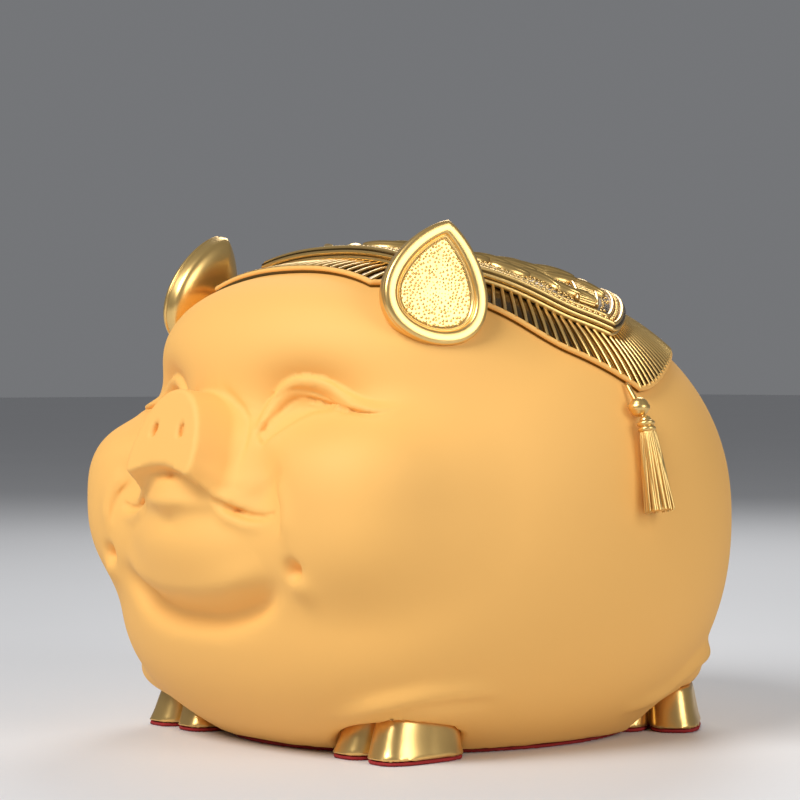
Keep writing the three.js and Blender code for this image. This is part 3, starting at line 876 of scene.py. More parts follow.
class Finish:
    """A material and the nodes that give it its look."""

    def __init__(self, name, **constants):
        self.material = bpy.data.materials.new(name)
        self.material.use_nodes = True
        self.tree = self.material.node_tree
        self.shader = self.tree.nodes["Principled BSDF"]
        for label, value in constants.items():
            self.shader.inputs[label.replace("_", " ")].default_value = value
        self.place = self.node("ShaderNodeTexCoord").outputs["Object"]

    def node(self, kind, settings=None, **inputs):
        node = self.tree.nodes.new(kind)
        for key, value in (settings or {}).items():
            setattr(node, key, value)
        for key, value in inputs.items():
            self.feed(node.inputs[key.replace("_", " ")], value)
        return node

    def feed(self, slot, value):
        if isinstance(value, Number):
            value = value.socket
        if isinstance(value, bpy.types.NodeSocket):
            self.tree.links.new(value, slot)
        else:
            slot.default_value = value

    def noise(self, scale, detail=2.0, roughness=0.5):
        node = self.node("ShaderNodeTexNoise", Vector=self.place, Scale=scale, Detail=detail, Roughness=roughness)
        return Number(self.tree, node.outputs["Fac"])

    def blend(self, share, first, second):
        node = self.node("ShaderNodeMix", {"data_type": "RGBA"})
        self.feed(node.inputs[0], share)
        self.feed(node.inputs[6], first)
        self.feed(node.inputs[7], second)
        return node.outputs[2]

    def stepped(self, value, low, high):
        node = self.node("ShaderNodeMapRange", {"interpolation_type": "SMOOTHSTEP"})
        for slot, v in zip(node.inputs, (value, low, high, 0.0, 1.0)):
            self.feed(slot, v)
        return Number(self.tree, node.outputs[0])

    def surface(self, **inputs):
        for label, value in inputs.items():
            self.feed(self.shader.inputs[label.replace("_", " ")], value)

    def bumps(self, height, distance, strength=1.0):
        node = self.node("ShaderNodeBump", Height=height, Distance=distance, Strength=strength)
        self.surface(Normal=node.outputs[0])
        return self.material


def colour(values):
    return (values[0], values[1], values[2], 1.0)


def lacquer(settings):
    """Satin gold lacquer over a fine blasted grain."""
    f = Finish("lacquered_body", Metallic=settings.lacquer_metal, Coat_Weight=settings.lacquer_coat,
               Coat_Roughness=0.35)
    grain = f.noise(1.0 / settings.grain, 3.0, 0.65)
    cloud = f.noise(28.0, 3.0, 0.55)
    pale = colour(settings.lacquer)
    deep = colour([c * k for c, k in zip(settings.lacquer, (0.95, 0.90, 0.80))])
    f.surface(Base_Color=f.blend(cloud * 0.7 + grain * 0.3, deep, pale), Roughness=0.36 + 0.10 * cloud + 0.10 * grain)
    return f.bumps(grain, 0.00006, 0.55)


def plating(settings, name="gold_plating", shade=1.0, roughness=0.10):
    """Polished plating with faint wipe marks and thin, deeper patches."""
    f = Finish(name, Metallic=1.0)
    wipe = f.noise(160.0, 4.0, 0.6)
    cloud = f.noise(45.0, 2.0)
    fine = f.noise(2600.0, 2.0)
    # a shade below 1 darkens the whole plating colour; the troughs' copy uses it as painted shade
    bright = colour([c * shade for c in settings.plating])
    deep = colour([c * shade * k for c, k in zip(settings.plating, (0.90, 0.80, 0.66))])
    f.surface(Base_Color=f.blend(f.stepped(cloud, 0.35, 0.75), deep, bright),
              Roughness=roughness + 0.12 * wipe * wipe)
    return f.bumps(wipe * 0.6 + fine * 0.4, 0.00002, 0.35)


def red_felt(settings):
    """Pressed wool fibres."""
    f = Finish("red_felt", Sheen_Weight=0.5, Sheen_Roughness=0.6, Roughness=0.95)
    long = f.node("ShaderNodeMapping", Vector=f.place, Scale=(900.0, 2600.0, 2600.0), Rotation=(0.3, 0.5, 0.7))
    fibre = Number(f.tree, f.node("ShaderNodeTexNoise", Vector=long.outputs[0], Scale=1.0, Detail=3.0).outputs["Fac"])
    fluff = f.noise(700.0, 3.0, 0.7)
    deep = colour([c * 0.45 for c in settings.felt])
    f.surface(Base_Color=f.blend(fibre * 0.6 + fluff * 0.4, deep, colour(settings.felt)),
              Roughness=0.88 + 0.1 * fluff)
    return f.bumps(fibre + fluff, 0.00025, 0.8)


def black_rubber():
    """Moulded rubber with a faint bloom."""
    f = Finish("black_rubber")
    bloom = f.noise(90.0, 3.0)
    grain = f.noise(1800.0, 2.0)
    f.surface(Base_Color=f.blend(f.stepped(bloom, 0.45, 0.8), (0.018, 0.017, 0.016, 1), (0.045, 0.043, 0.04, 1)),
              Roughness=0.55 + 0.25 * grain)
    return f.bumps(grain, 0.00004, 0.6)


def floor_finish(settings):
    f = Finish("studio_floor", Roughness=0.55)
    cloud = f.noise(3.0, 3.0)
    grain = f.noise(400.0, 2.0)
    shade = colour([c * 0.96 for c in settings.floor])
    f.surface(Base_Color=f.blend(cloud, shade, colour(settings.floor)), Roughness=0.5 + 0.15 * grain)
    return f.bumps(grain, 0.0001, 0.15)


def finish_of(name):
    made = bpy.data.materials.get(name)
    if made is None:
        raise RuntimeError(f"make the finishes first: there is no {name}")
    return made


# ---- settings ----
def length(label, note, value, high):
    return bpy.props.FloatProperty(name=label, description=note, default=value, min=0.0, max=high, unit="LENGTH",
                                   subtype="DISTANCE", precision=5)


def shade(label, note, value):
    return bpy.props.FloatVectorProperty(name=label, description=note, default=value, size=3, min=0.0, max=1.0,
                                         subtype="COLOR")


def share(label, note, value):
    return bpy.props.FloatProperty(name=label, description=note, default=value, min=0.0, max=1.0, subtype="FACTOR")


class PigFinishSettings(bpy.types.PropertyGroup):
    lacquer: shade("Lacquer", "Colour of the body's lacquer", (0.92, 0.53, 0.12))
    lacquer_metal: share("Lacquer metal", "How metallic the lacquer is", 0.35)
    lacquer_coat: share("Lacquer coat", "How much clear coat is over the lacquer", 0.12)
    grain: length("Grain", "Size of the body's blasted grain", 0.00045, 0.01)
    plating: shade("Plating", "Colour of the polished trims", (1.0, 0.64, 0.20))
    felt: shade("Felt", "Colour of the felt", (0.42, 0.02, 0.02))
    floor: shade("Floor", "Colour of the floor", (0.72, 0.72, 0.73))


class PigBodySettings(bpy.types.PropertyGroup):
    wall: length("Wall", "Thickness of the body's wall", 0.006, 0.02)
    cell: length("Cell", "Size of the body's coarse faces", 0.0026, 0.01)
    rounds: bpy.props.IntProperty(name="Rounds", description="Times that points are moved onto the shape", default=7,
                                  min=1, max=20)


class PigClothSettings(bpy.types.PropertyGroup):
    side_rib_pitch: length("Side rib pitch", "Distance between ribs along the sides and front", 0.0039, 0.02)
    rear_rib_pitch: length("Rear rib pitch", "Distance between ribs round the rear", 0.0029, 0.02)
    rib_radius: length("Rib radius", "Half the thickness of a rib", 0.00055, 0.005)
    piping_radius: length("Piping radius", "Half the thickness of the pad's piping", 0.0009, 0.005)
    bead_radius: length("Bead radius", "Half the width of a border bead", 0.00085, 0.005)
    bead_pitch: length("Bead pitch", "Distance between border beads", 0.0021, 0.02)
    pebble_pitch: length("Pebble pitch", "Least distance between pebbles on the pad", 0.00155, 0.02)
    thread_radius: length("Thread radius", "Half the thickness of a tassel's thread", 0.0005, 0.005)
    threads: bpy.props.IntProperty(name="Threads", description="Threads round a tassel's skirt", default=26,
                                   min=3, max=80)


class PigEarSettings(bpy.types.PropertyGroup):
    width: length("Ear width", "Width of an ear", 0.036, 0.1)
    height: length("Ear height", "Height of an ear", 0.042, 0.1)
    rim: length("Rim", "Width of the polished rim", 0.0044, 0.02)
    pebble_pitch: length("Pebble pitch", "Least distance between pebbles in the ear", 0.00095, 0.02)


class PigStageSettings(bpy.types.PropertyGroup):
    distance: length("Camera distance", "From the camera to the bank's middle", 0.9, 5.0)
    height: length("Camera height", "Height of the camera over the floor", 0.123, 2.0)
    turn: bpy.props.FloatProperty(name="Camera turn", description="How far the camera stands round from the nose",
                                  default=math.radians(50), subtype="ANGLE", unit="ROTATION")
    lens: bpy.props.FloatProperty(name="Lens", description="Focal length", default=115.7, min=10, max=400,
                                  subtype="DISTANCE_CAMERA", unit="CAMERA")
    key: bpy.props.FloatProperty(name="Key light", description="Strength of the main light", default=16.0, min=0,
                                 unit="POWER")
    fill: bpy.props.FloatProperty(name="Fill light", description="Strength of the side light", default=5.0, min=0,
                                  unit="POWER")
    air: share("Room light", "Brightness of the room around", 0.22)


class PigBankSettings(bpy.types.PropertyGroup):
    finishes: bpy.props.PointerProperty(type=PigFinishSettings)
    body: bpy.props.PointerProperty(type=PigBodySettings)
    cloth: bpy.props.PointerProperty(type=PigClothSettings)
    ears: bpy.props.PointerProperty(type=PigEarSettings)
    stage: bpy.props.PointerProperty(type=PigStageSettings)


# ---- operators ----
class PIG_OT_finishes(bpy.types.Operator):
    """Make the lacquer, plating, felt and rubber"""
    bl_idname = "pig_bank.finishes"
    bl_label = "Finishes"

    def execute(self, context):
        settings = context.scene.pig_bank.finishes
        lacquer(settings)
        plating(settings)
        # the troughs' copy of the plating: its dark colour is painted shade, standing in for dark surroundings
        # reflected in the flat troughs
        plating(settings, "gold_plating_painted_shade", shade=0.17, roughness=0.20)
        red_felt(settings)
        black_rubber()
        floor_finish(settings)
        return {"FINISHED"}


def refine(mesh, zone):
    """Splits in four the faces whose middle is in a zone."""
    work = bmesh.new()
    work.from_mesh(mesh)
    middles = np.array([f.calc_center_median() for f in work.faces]) / MM - (0, SHIFT, 0)
    chosen = zone(middles)
    edges = {e for f, take in zip(work.faces, chosen) if take for e in f.edges}
    bmesh.ops.subdivide_edges(work, edges=list(edges), cuts=1, use_grid_fill=True)
    work.to_mesh(mesh)
    work.free()


def near_skin(p):
    side = one_side(p).astype(np.float32)
    return (masses(side) > -3.5) | (p[:, 1] < FACE_BACK - 1.5)


def face_and_legs(p):
    head = (p[:, 1] < -46) & (p[:, 2] > 43) & (p[:, 2] < 140) & (np.abs(p[:, 0]) < 76)
    legs = (p[:, 2] < 32) & (np.abs(p[:, 0]) > 32) & (np.abs(p[:, 1] - 8) > 22)
    return near_skin(p) & (head | legs)


def muzzle(p):
    return (np.abs(p[:, 0]) < 53) & (p[:, 2] > 57) & (p[:, 2] < 122) & (p[:, 1] < -72)


def soften(mesh, zone, rounds):
    """Evens out the points in a zone."""
    work = bmesh.new()
    work.from_mesh(mesh)
    points = np.array([v.co for v in work.verts]) / MM - (0, SHIFT, 0)
    chosen = [v for v, take in zip(work.verts, zone(points)) if take]
    for _ in range(rounds):
        bmesh.ops.smooth_vert(work, verts=chosen, factor=0.5, use_axis_x=True, use_axis_y=True, use_axis_z=True)
    work.to_mesh(mesh)
    work.free()


def fine_face(p):
    q = around_head(one_side(p))
    eye = (q[:, 0] > 26) & (q[:, 0] < 86) & (q[:, 1] > 99) & (q[:, 1] < 126)
    return near_skin(p) & (eye | muzzle(p))


class PIG_OT_body(bpy.types.Operator):
    """Make the hollow moulded body with its face"""
    bl_idname = "pig_bank.body"
    bl_label = "Body"

    def execute(self, context):
        settings = context.scene.pig_bank.body
        wall = settings.wall / MM

        def field(p):
            return body_shell(p, wall)

        points, faces = skin(field, (-104, -114, -3), (104, 122, 172), settings.cell / MM)
        mesh = make_mesh("pig_body", points, faces)
        refine(mesh, face_and_legs)
        refine(mesh, fine_face)
        set_mesh_points(mesh, settle(field, mesh_points(mesh).astype(np.float32), settings.rounds))
        soften(mesh, muzzle, 2)
        piece = link("pig_body", mesh, finish_of("lacquered_body"))
        finish_piece(piece, "bank", "lacquered_body", "body_shell")
        return {"FINISHED"}


class PIG_OT_hooves(bpy.types.Operator):
    """Make the four polished hooves"""
    bl_idname = "pig_bank.hooves"
    bl_label = "Hooves"

    def execute(self, context):
        def hoof(p):
            return np.maximum(toes(p), BASE_Z - p[..., 2])

        points, faces = skin(hoof, (-18, -20, -1), (18, 20, 18), 1.0)
        points = settle(hoof, points, 5, 0.5)
        faces = [tuple(f) for f in faces]
        for end, (x, y, turn) in (("front", FRONT_HOOF), ("rear", REAR_HOOF)):
            c, s = math.cos(math.radians(turn)), math.sin(math.radians(turn))
            placed = np.stack([x + points[:, 0] * c - points[:, 1] * s, y + points[:, 0] * s + points[:, 1] * c,
                               points[:, 2]], -1)
            for side, (p, f) in (("left", (placed, faces)), ("right", mirror(placed, faces))):
                mesh = outwards(make_mesh(f"{end}_{side}_toes", p, f))
                piece = link(f"{end}_{side}_toes", mesh, finish_of("gold_plating"))
                finish_piece(piece, "bank", "gold_plating", f"{end}_{side}_hoof")
        return {"FINISHED"}


def bezier(points, count):
    t = np.linspace(0, 1, count, endpoint=False)[:, None]
    a, b, c, d = (np.array(p, float) for p in points)
    return (1 - t) ** 3 * a + 3 * (1 - t) ** 2 * t * b + 3 * (1 - t) * t ** 2 * c + t ** 3 * d


def ear_outline(width, height, sides):
    """The teardrop's edge, as distances from its middle at even angles."""
    w, top, bottom = width / 2, height * 0.54, -height * 0.46
    right = [
        bezier([(0, top), (w * 0.45, top * 0.86), (w, top * 0.3), (w, bottom * 0.2)], 200),
        bezier([(w, bottom * 0.2), (w, bottom * 0.75), (w * 0.5, bottom), (0, bottom)], 200),
    ]
    half = np.vstack(right + [np.array([[0, bottom]])])
    line = np.vstack([half, half[::-1] * (-1, 1)])
    angle = np.unwrap(np.arctan2(line[:, 0], line[:, 1]))
    radius = np.linalg.norm(line, axis=1)
    even_angle = np.linspace(0, 2 * math.pi, sides, endpoint=False)
    return even_angle, np.interp(even_angle, angle, radius)


def ear_rings(rim):
    """(distance in from the edge, height) of the ear's rings, from the back's middle round to the front's."""
    back = [(d, -5.0 * math.sqrt(max(0.0, 1 - (1 - min(d / 13.0, 1)) ** 2.4)) + 0.4) for d in
            (17.5, 15, 12.5, 10.5, 8.8, 7.3, 6, 4.8, 3.7, 2.8, 2.0, 1.3, 0.8, 0.45, 0.2, 0.05)]
    side = [(0.0, 0.9), (0.0, 1.8), (0.0, 2.6), (0.05, 2.95), (0.32, 3.1), (0.32, 3.3), (0.05, 3.45), (0.05, 3.8)]
    face = [(0.15, 4.25), (0.45, 4.65), (0.9, 4.92), (1.5, 5.05), (rim * 0.5, 5.1), (rim - 0.9, 5.02),
            (rim - 0.35, 4.85), (rim, 4.4), (rim + 0.1, 3.9), (rim + 0.35, 3.7), (rim + 0.6, 3.7), (rim + 0.72, 4.0),
            (rim + 0.9, 4.1), (rim + 1.08, 4.0), (rim + 1.2, 3.7), (rim + 2.0, 3.6), (rim + 4, 3.65),
            (rim + 7, 3.75), (rim + 10, 3.85), (17.6, 3.9)]
    return back + side + face


def ear_to_head(points):
    """Turns an ear's own points to its place on the head."""
    facing = np.array(EAR_FACING)
    facing /= np.linalg.norm(facing)
    across = np.cross((0, 0, 1), facing)
    across /= np.linalg.norm(across)
    up = np.cross(facing, across)
    lean = math.radians(-EAR_LEAN)
    x, y = points[:, 0], points[:, 1]
    turned = np.stack([x * math.cos(lean) - y * math.sin(lean), x * math.sin(lean) + y * math.cos(lean),
                       points[:, 2]], -1)
    return turned @ np.array([across, up, facing]) + EAR_PLACE


class PIG_OT_ears(bpy.types.Operator):
    """Make the two ears, each with a polished rim and a pebbled inlay"""
    bl_idname = "pig_bank.ears"
    bl_label = "Ears"

    def execute(self, context):
        settings = context.scene.pig_bank.ears
        sides = 160
        angle, radius = ear_outline(settings.width / MM, settings.height / MM, sides)
        edge = np.stack([radius * np.sin(angle), radius * np.cos(angle)], -1)
        way = np.roll(edge, -1, 0) - np.roll(edge, 1, 0)
        way /= np.linalg.norm(way, axis=1)[:, None]
        outward = np.stack([np.sin(angle), np.cos(angle)], -1)
        square = np.abs(way[:, 0] * outward[:, 1] - way[:, 1] * outward[:, 0])
        for _ in range(3):
            square = (np.roll(square, 1) + square + np.roll(square, -1)) / 3
        rings = []
        for distance, height in ear_rings(settings.rim / MM):
            r = radius * np.maximum(1 - distance / (radius * square), 0.02)
            rings.append(np.column_stack([outward * r[:, None], np.full(sides, height)]))
        points = np.vstack([[(0, 0, -4.62)]] + rings + [[(0, 0, 3.9)]])
        count = len(rings)
        last = len(points) - 1
        faces = [(0, 1 + j, 1 + (j + 1) % sides) for j in range(sides)]
        faces += [tuple(i + 1 for i in reversed(f)) for f in grid_faces(count, sides, wrap=True)]
        base = 1 + (count - 1) * sides
        faces += [(last, base + (j + 1) % sides, base + j) for j in range(sides)]
        placed = self.tucked(ear_to_head(points))
        inlay = np.vstack([[(0, 0, 3.7)]] + [
            np.column_stack([outward * (radius * np.maximum(1 - d / (radius * square), 0.02))[:, None],
                             np.full(sides, 3.62)]) for d in (12.0, settings.rim / MM + 1.45)])
        inlay_faces = [(0, 1 + (j + 1) % sides, 1 + j) for j in range(sides)]
        inlay_faces += [(1 + j, 1 + (j + 1) % sides, 1 + sides + (j + 1) % sides, 1 + sides + j)
                        for j in range(sides)]
        inlay = ear_to_head(inlay)
        tree = pebble_tree()
        for side in ("left", "right"):
            p, f = (placed, faces) if side == "left" else mirror(placed, faces)
            mesh = outwards(make_mesh(f"{side}_ear_plate", p, f))
            piece = link(f"{side}_ear_plate", mesh, finish_of("gold_plating"))
            finish_piece(piece, "bank", "gold_plating", f"{side}_ear")
            p, f = (inlay, inlay_faces) if side == "left" else mirror(inlay, inlay_faces)
            mesh = grow(f"{side}_ear_pebbles", tree, make_mesh(f"{side}_ear_ground", p, f), {
                "Radius": 0.00052, "Spacing": settings.pebble_pitch, "Flatness": 0.75, "Seed": 5,
                "Finish": finish_of("gold_plating")})
            piece = link(f"{side}_ear_pebbles", mesh, smooth=False)
            finish_piece(piece, "bank", "gold_plating")
        return {"FINISHED"}

    def tucked(self, points, deepest=2.0):
        """Keeps the ear's root from reaching further into the head."""
        for _ in range(6):
            side = points.astype(np.float32)
            d = masses(side)
            g = np.stack([masses(side + s) - masses(side - s) for s in np.eye(3, dtype=np.float32) * 0.2], -1) / 0.4
            points = points + np.where(d < -deepest, -deepest - d, 0)[:, None] * g
        return points


def rib_lines(back, settings, lift):
    """Ribs from the pad's edge out to the blanket's, fanned at the corners."""
    side = settings.side_rib_pitch / MM
    rear = settings.rear_rib_pitch / MM
    lengths = [np.linalg.norm(np.diff(back.lift(s, np.zeros(len(s))), axis=0), axis=1).sum()
               for s in cloth_sides(back, BLANKET, (120, 120, 120, 120))]
    counts = [int(n / pitch) for n, pitch in zip(lengths, (side, side, rear, side))]
    outer = np.vstack([s[:-1] for s in cloth_sides(back, BLANKET, counts)])
    inner = np.vstack([s[:-1] for s in cloth_sides(back, PAD, counts)])
    lines = []
    for a, b in zip(inner, outer):
        t = np.linspace(0, 1, 14)[:, None]
        plan = a + (b - a) * (0.015 + 0.955 * t)
        lines.append(back.lift(plan, np.full(14, lift)))
    return lines


class PIG_OT_blanket(bpy.types.Operator):
    """Make the ribbed saddle blanket"""
    bl_idname = "pig_bank.blanket"
    bl_label = "Blanket"

    def execute(self, context):
        settings = context.scene.pig_bank.cloth
        back = Back()
        points, faces = cloth_slab(back, BLANKET, 0.25, 1.75, 97, 81)
        # the blanket's ground sheet takes the darkened plating: painted shade in the troughs between the ribs
        sheet = link("blanket_ground", outwards(make_mesh("blanket_ground", points, faces)),
                     finish_of("gold_plating_painted_shade"), smooth=False)
        sheet = cut_slot(sheet, SLOT["width"], SLOT["length"])
        finish_piece(sheet, "bank", "gold_plating", "saddle_blanket")
        tree = strand_tree()
        ribs = grow("blanket_ribs", tree, lines_mesh("rib_lines", rib_lines(back, settings, 2.2)), {
            "Radius": settings.rib_radius, "Sides": 8, "Finish": finish_of("gold_plating")})
        finish_piece(link("blanket_ribs", ribs, smooth=False), "bank", "gold_plating")
        outline = cloth_outline(back, BLANKET)
        inner = inset(back, outline, 0.7)
        line = lines_mesh("edge_line", [back.lift(inner, np.full(len(inner), 1.55))], True)
        edge = grow("blanket_edge", tree, line, {
            "Radius": 0.0009, "Sides": 12, "Finish": finish_of("lacquered_body")})
        finish_piece(link("blanket_edge", edge, smooth=False), "bank", "lacquered_body")
        return {"FINISHED"}


class Unrolled:
    """Plan places from distances measured over the curve of the back."""

    def __init__(self, back):
        x = np.linspace(0, 95, 400)
        p = back.lift(np.column_stack([x, np.full(400, 12.0)]), np.zeros(400))
        self.x = x
        self.s = np.concatenate([[0], np.cumsum(np.linalg.norm(np.diff(p, axis=0), axis=1))])

    def plan(self, s, y):
        return np.stack([np.sign(s) * np.interp(np.abs(s), self.s, self.x), y], -1)


def leaf(back, unrolled, start, heading, reach, width, curl, low, tall, rows=17, columns=9):
    """A raised leaf with a midrib, along a curling line."""
    u = np.linspace(0, 1, rows)
    turn = math.radians(heading) + curl * u ** 1.5
    step = reach / (rows - 1)
    way = np.stack([np.cos(turn), np.sin(turn)], -1)
    line = np.array(start) + np.vstack([[(0, 0)], np.cumsum(way[:-1] * step, 0)])
    left = np.stack([-np.sin(turn), np.cos(turn)], -1)
    half = width * 0.36 * (np.sin(math.pi * u ** 0.72) ** 0.85 * 0.94 + 0.06)
    v = np.linspace(-1, 1, columns)
    plan = line[:, None] + left[:, None] * (half[:, None] * v)[..., None]
    dome = np.sqrt(np.maximum(0, 1 - v ** 2))
    height = tall * (dome * 0.85 + 0.35 * np.exp(-(v / 0.16) ** 2) - 0.2 * np.exp(-((np.abs(v) - 0.42) / 0.2) ** 2))
    height = height[None] * (0.25 + 0.75 * np.sin(math.pi * np.clip(u, 0.02, 0.98)) ** 0.5)[:, None]
    height[:, 0] = height[:, -1] = -0.5
    height[0] = height[-1] = -0.5
    flat = unrolled.plan(plan[..., 0].ravel(), plan[..., 1].ravel())
    top = back.lift(flat, low + height.ravel())
    bottom = back.lift(flat, np.full(len(flat), low - 0.9))
    return np.vstack([top, bottom]), slab_faces(rows, columns)


# (side, y, heading, length, width, curl) of the leaves on the left half of the pad
LEAVES = [
    (7, -27, 12, 19, 5.6, 1.1), (9, -20, 74, 17, 5.2, -0.8),
    (24, -24, 22, 17, 5.2, 1.3), (24, -19, 70, 17, 5.4, -1.0),
    (32, -13, 35, 17, 5.2, 1.2), (14, -6, 52, 17, 5.6, 1.1), (23, -3, 96, 16, 5.4, 0.9), (33, -4, 62, 17, 5.6, -1.1),
    (42, -2, 28, 15, 5.0, 1.2), (13, 7, 96, 16, 5.2, -0.8), (30, 10, 20, 17, 5.4, 1.2), (30, 14, 76, 17, 5.6, -1.0),
    (44, 8, 58, 17, 5.4, -1.1), (16, 20, 55, 17, 5.4, 1.0), (50, 16, 18, 15, 5.0, 1.2), (41, 23, 52, 16, 5.4, 1.0),
    (12, 26, 92, 16, 5.2, 0.8), (27, 30, 28, 17, 5.4, 1.1), (24, 36, 88, 12, 5.0, -0.8), (57, 21, 62, 11, 4.6, -0.9),
    (11, 43, 50, 14, 5.0, 1.0), (44, 34, 8, 13, 4.8, 1.0),
]


class PIG_OT_pad(bpy.types.Operator):
    """Make the pad with its piping, beads, pebbles, leaves and cross band"""
    bl_idname = "pig_bank.pad"
    bl_label = "Pad"
    top = 6.2

    def execute(self, context):
        settings = context.scene.pig_bank.cloth
        self.back = Back()
        self.gold = finish_of("gold_plating")
        self.outline = cloth_outline(self.back, PAD)
        self.ground()
        strands, beads = strand_tree(), bead_tree()
        pipe = settings.piping_radius
        rings = [(pipe / MM * 0.3, 2.9, pipe), (pipe / MM * 0.5, 4.9, pipe), (1.6, self.top + 0.1, 0.0008),
                 (5.1, self.top + 0.1, 0.0007)]
        for number, (distance, height, radius) in enumerate(rings):
            self.strands(strands, f"pad_piping_{number + 1}", [self.level(distance, height)], radius, True, 12)
        band = [self.across_band(0.775), self.across_band(0.865)]
        self.strands(strands, "pad_band_edges", band, 0.0008, False, 10)
        self.strands(strands, "pad_band_ribs", self.band_ribs(), 0.00062, False, 8)
        line = lines_mesh("bead_line", [self.level(3.4, self.top + 0.15)], True)
        mesh = grow("pad_beads", beads, line, {
            "Radius": settings.bead_radius, "Spacing": settings.bead_pitch, "Finish": self.gold})
        finish_piece(link("pad_beads", mesh, smooth=False), "bank", "gold_plating")
        self.pebbles(settings)
        self.leaves()
        return {"FINISHED"}

    def level(self, distance, height):
        line = inset(self.back, self.outline, distance)
        return self.back.lift(line, np.full(len(line), height))

    def ground(self):
        points, faces = cloth_slab(self.back, PAD, 1.9, self.top, 81, 61)
        # the pad's ground takes the darkened plating: painted shade on the ground between the pebbles and leaves
        piece = link("pad_ground", outwards(make_mesh("pad_ground", points, faces)), finish_of("gold_plating_painted_shade"),
                     smooth=False)
        piece = cut_slot(piece, SLOT["width"] - 0.6, SLOT["length"] - 0.6)
        finish_piece(piece, "bank", "gold_plating", "saddle_pad")

    def strands(self, tree, name, lines, radius, closed, sides):
        mesh = grow(name, tree, lines_mesh(name + "_line", lines, closed), {
            "Radius": radius, "Sides": sides, "Finish": self.gold})
        finish_piece(link(name, mesh, smooth=False), "bank", "gold_plating")

    def across_band(self, along):
        t = np.linspace(-0.93, 0.93, 90)
        plan = cloth_plan(PAD, t, np.full(90, along))
        return self.back.lift(plan, np.full(90, self.top + 0.35))

    def band_ribs(self):
        ends = [even(self.across_band(along), 64) for along in (0.785, 0.855)]
        return [np.linspace(a, b, 5) for a, b in zip(*ends)]

    def pebbles(self, settings):
        columns, rows = 121, 91
        across, along = np.meshgrid(np.linspace(-1, 1, columns), np.linspace(0, 1, rows), indexing="xy")
        plan = cloth_plan(PAD, across.ravel(), along.ravel())
        clear = within(plan, inset(self.back, self.outline, 6.2))
        band = (along.ravel() > 0.76) & (along.ravel() < 0.88)
        margin = 2.6
        slot = np.abs(plan[:, 0]) < SLOT["width"] / 2 + margin
        slot &= np.abs(plan[:, 1] - SLOT["y"]) < SLOT["length"] / 2 + margin
        clear &= ~band & ~slot
        faces = [f for f in grid_faces(rows, columns) if clear[list(f)].all()]
        ground = make_mesh("pad_pebble_ground", self.back.lift(plan, np.full(len(plan), self.top)), faces)
        mesh = grow("pad_pebbles", pebble_tree(), ground, {
            "Radius": settings.pebble_pitch * 0.4, "Spacing": settings.pebble_pitch, "Flatness": 0.7, "Seed": 11,
            "Finish": self.gold})
        finish_piece(link("pad_pebbles", mesh, smooth=False), "bank", "gold_plating")

    def leaves(self):
        unrolled = Unrolled(self.back)
        parts = []
        for s, y, heading, reach, width, curl in LEAVES:
            p, f = leaf(self.back, unrolled, (s, y), heading, reach, width, curl, self.top + 0.25, 1.75)
            parts += [(p, f), mirror(p, f)]
        mesh = outwards(make_mesh("pad_leaves", *join(parts)))
        finish_piece(link("pad_leaves", mesh, self.gold), "bank", "gold_plating")
        half_x, half_y, y = SLOT["width"] / 2 + 1.4, SLOT["length"] / 2 + 1.4, SLOT["y"]
        angle = np.linspace(0, 2 * math.pi, 96, endpoint=False)
        plan = np.stack([half_x * np.sign(np.cos(angle)) * np.abs(np.cos(angle)) ** 0.35,
                         y + half_y * np.sign(np.sin(angle)) * np.abs(np.sin(angle)) ** 0.35], -1)
        plan = even(np.vstack([plan, plan[:1]]), 120)[:-1]
        self.strands(strand_tree(), "slot_rim", [self.back.lift(plan, np.full(len(plan), self.top + 0.1))], 0.0009,
                     True, 12)


def side_x(y, z):
    """How far out the body's side is."""
    low, high = 40.0, 120.0
    for _ in range(30):
        middle = (low + high) / 2
        if masses(np.array([[middle, y, z]], np.float32))[0] > 0:
            high = middle
        else:
            low = middle
    return low


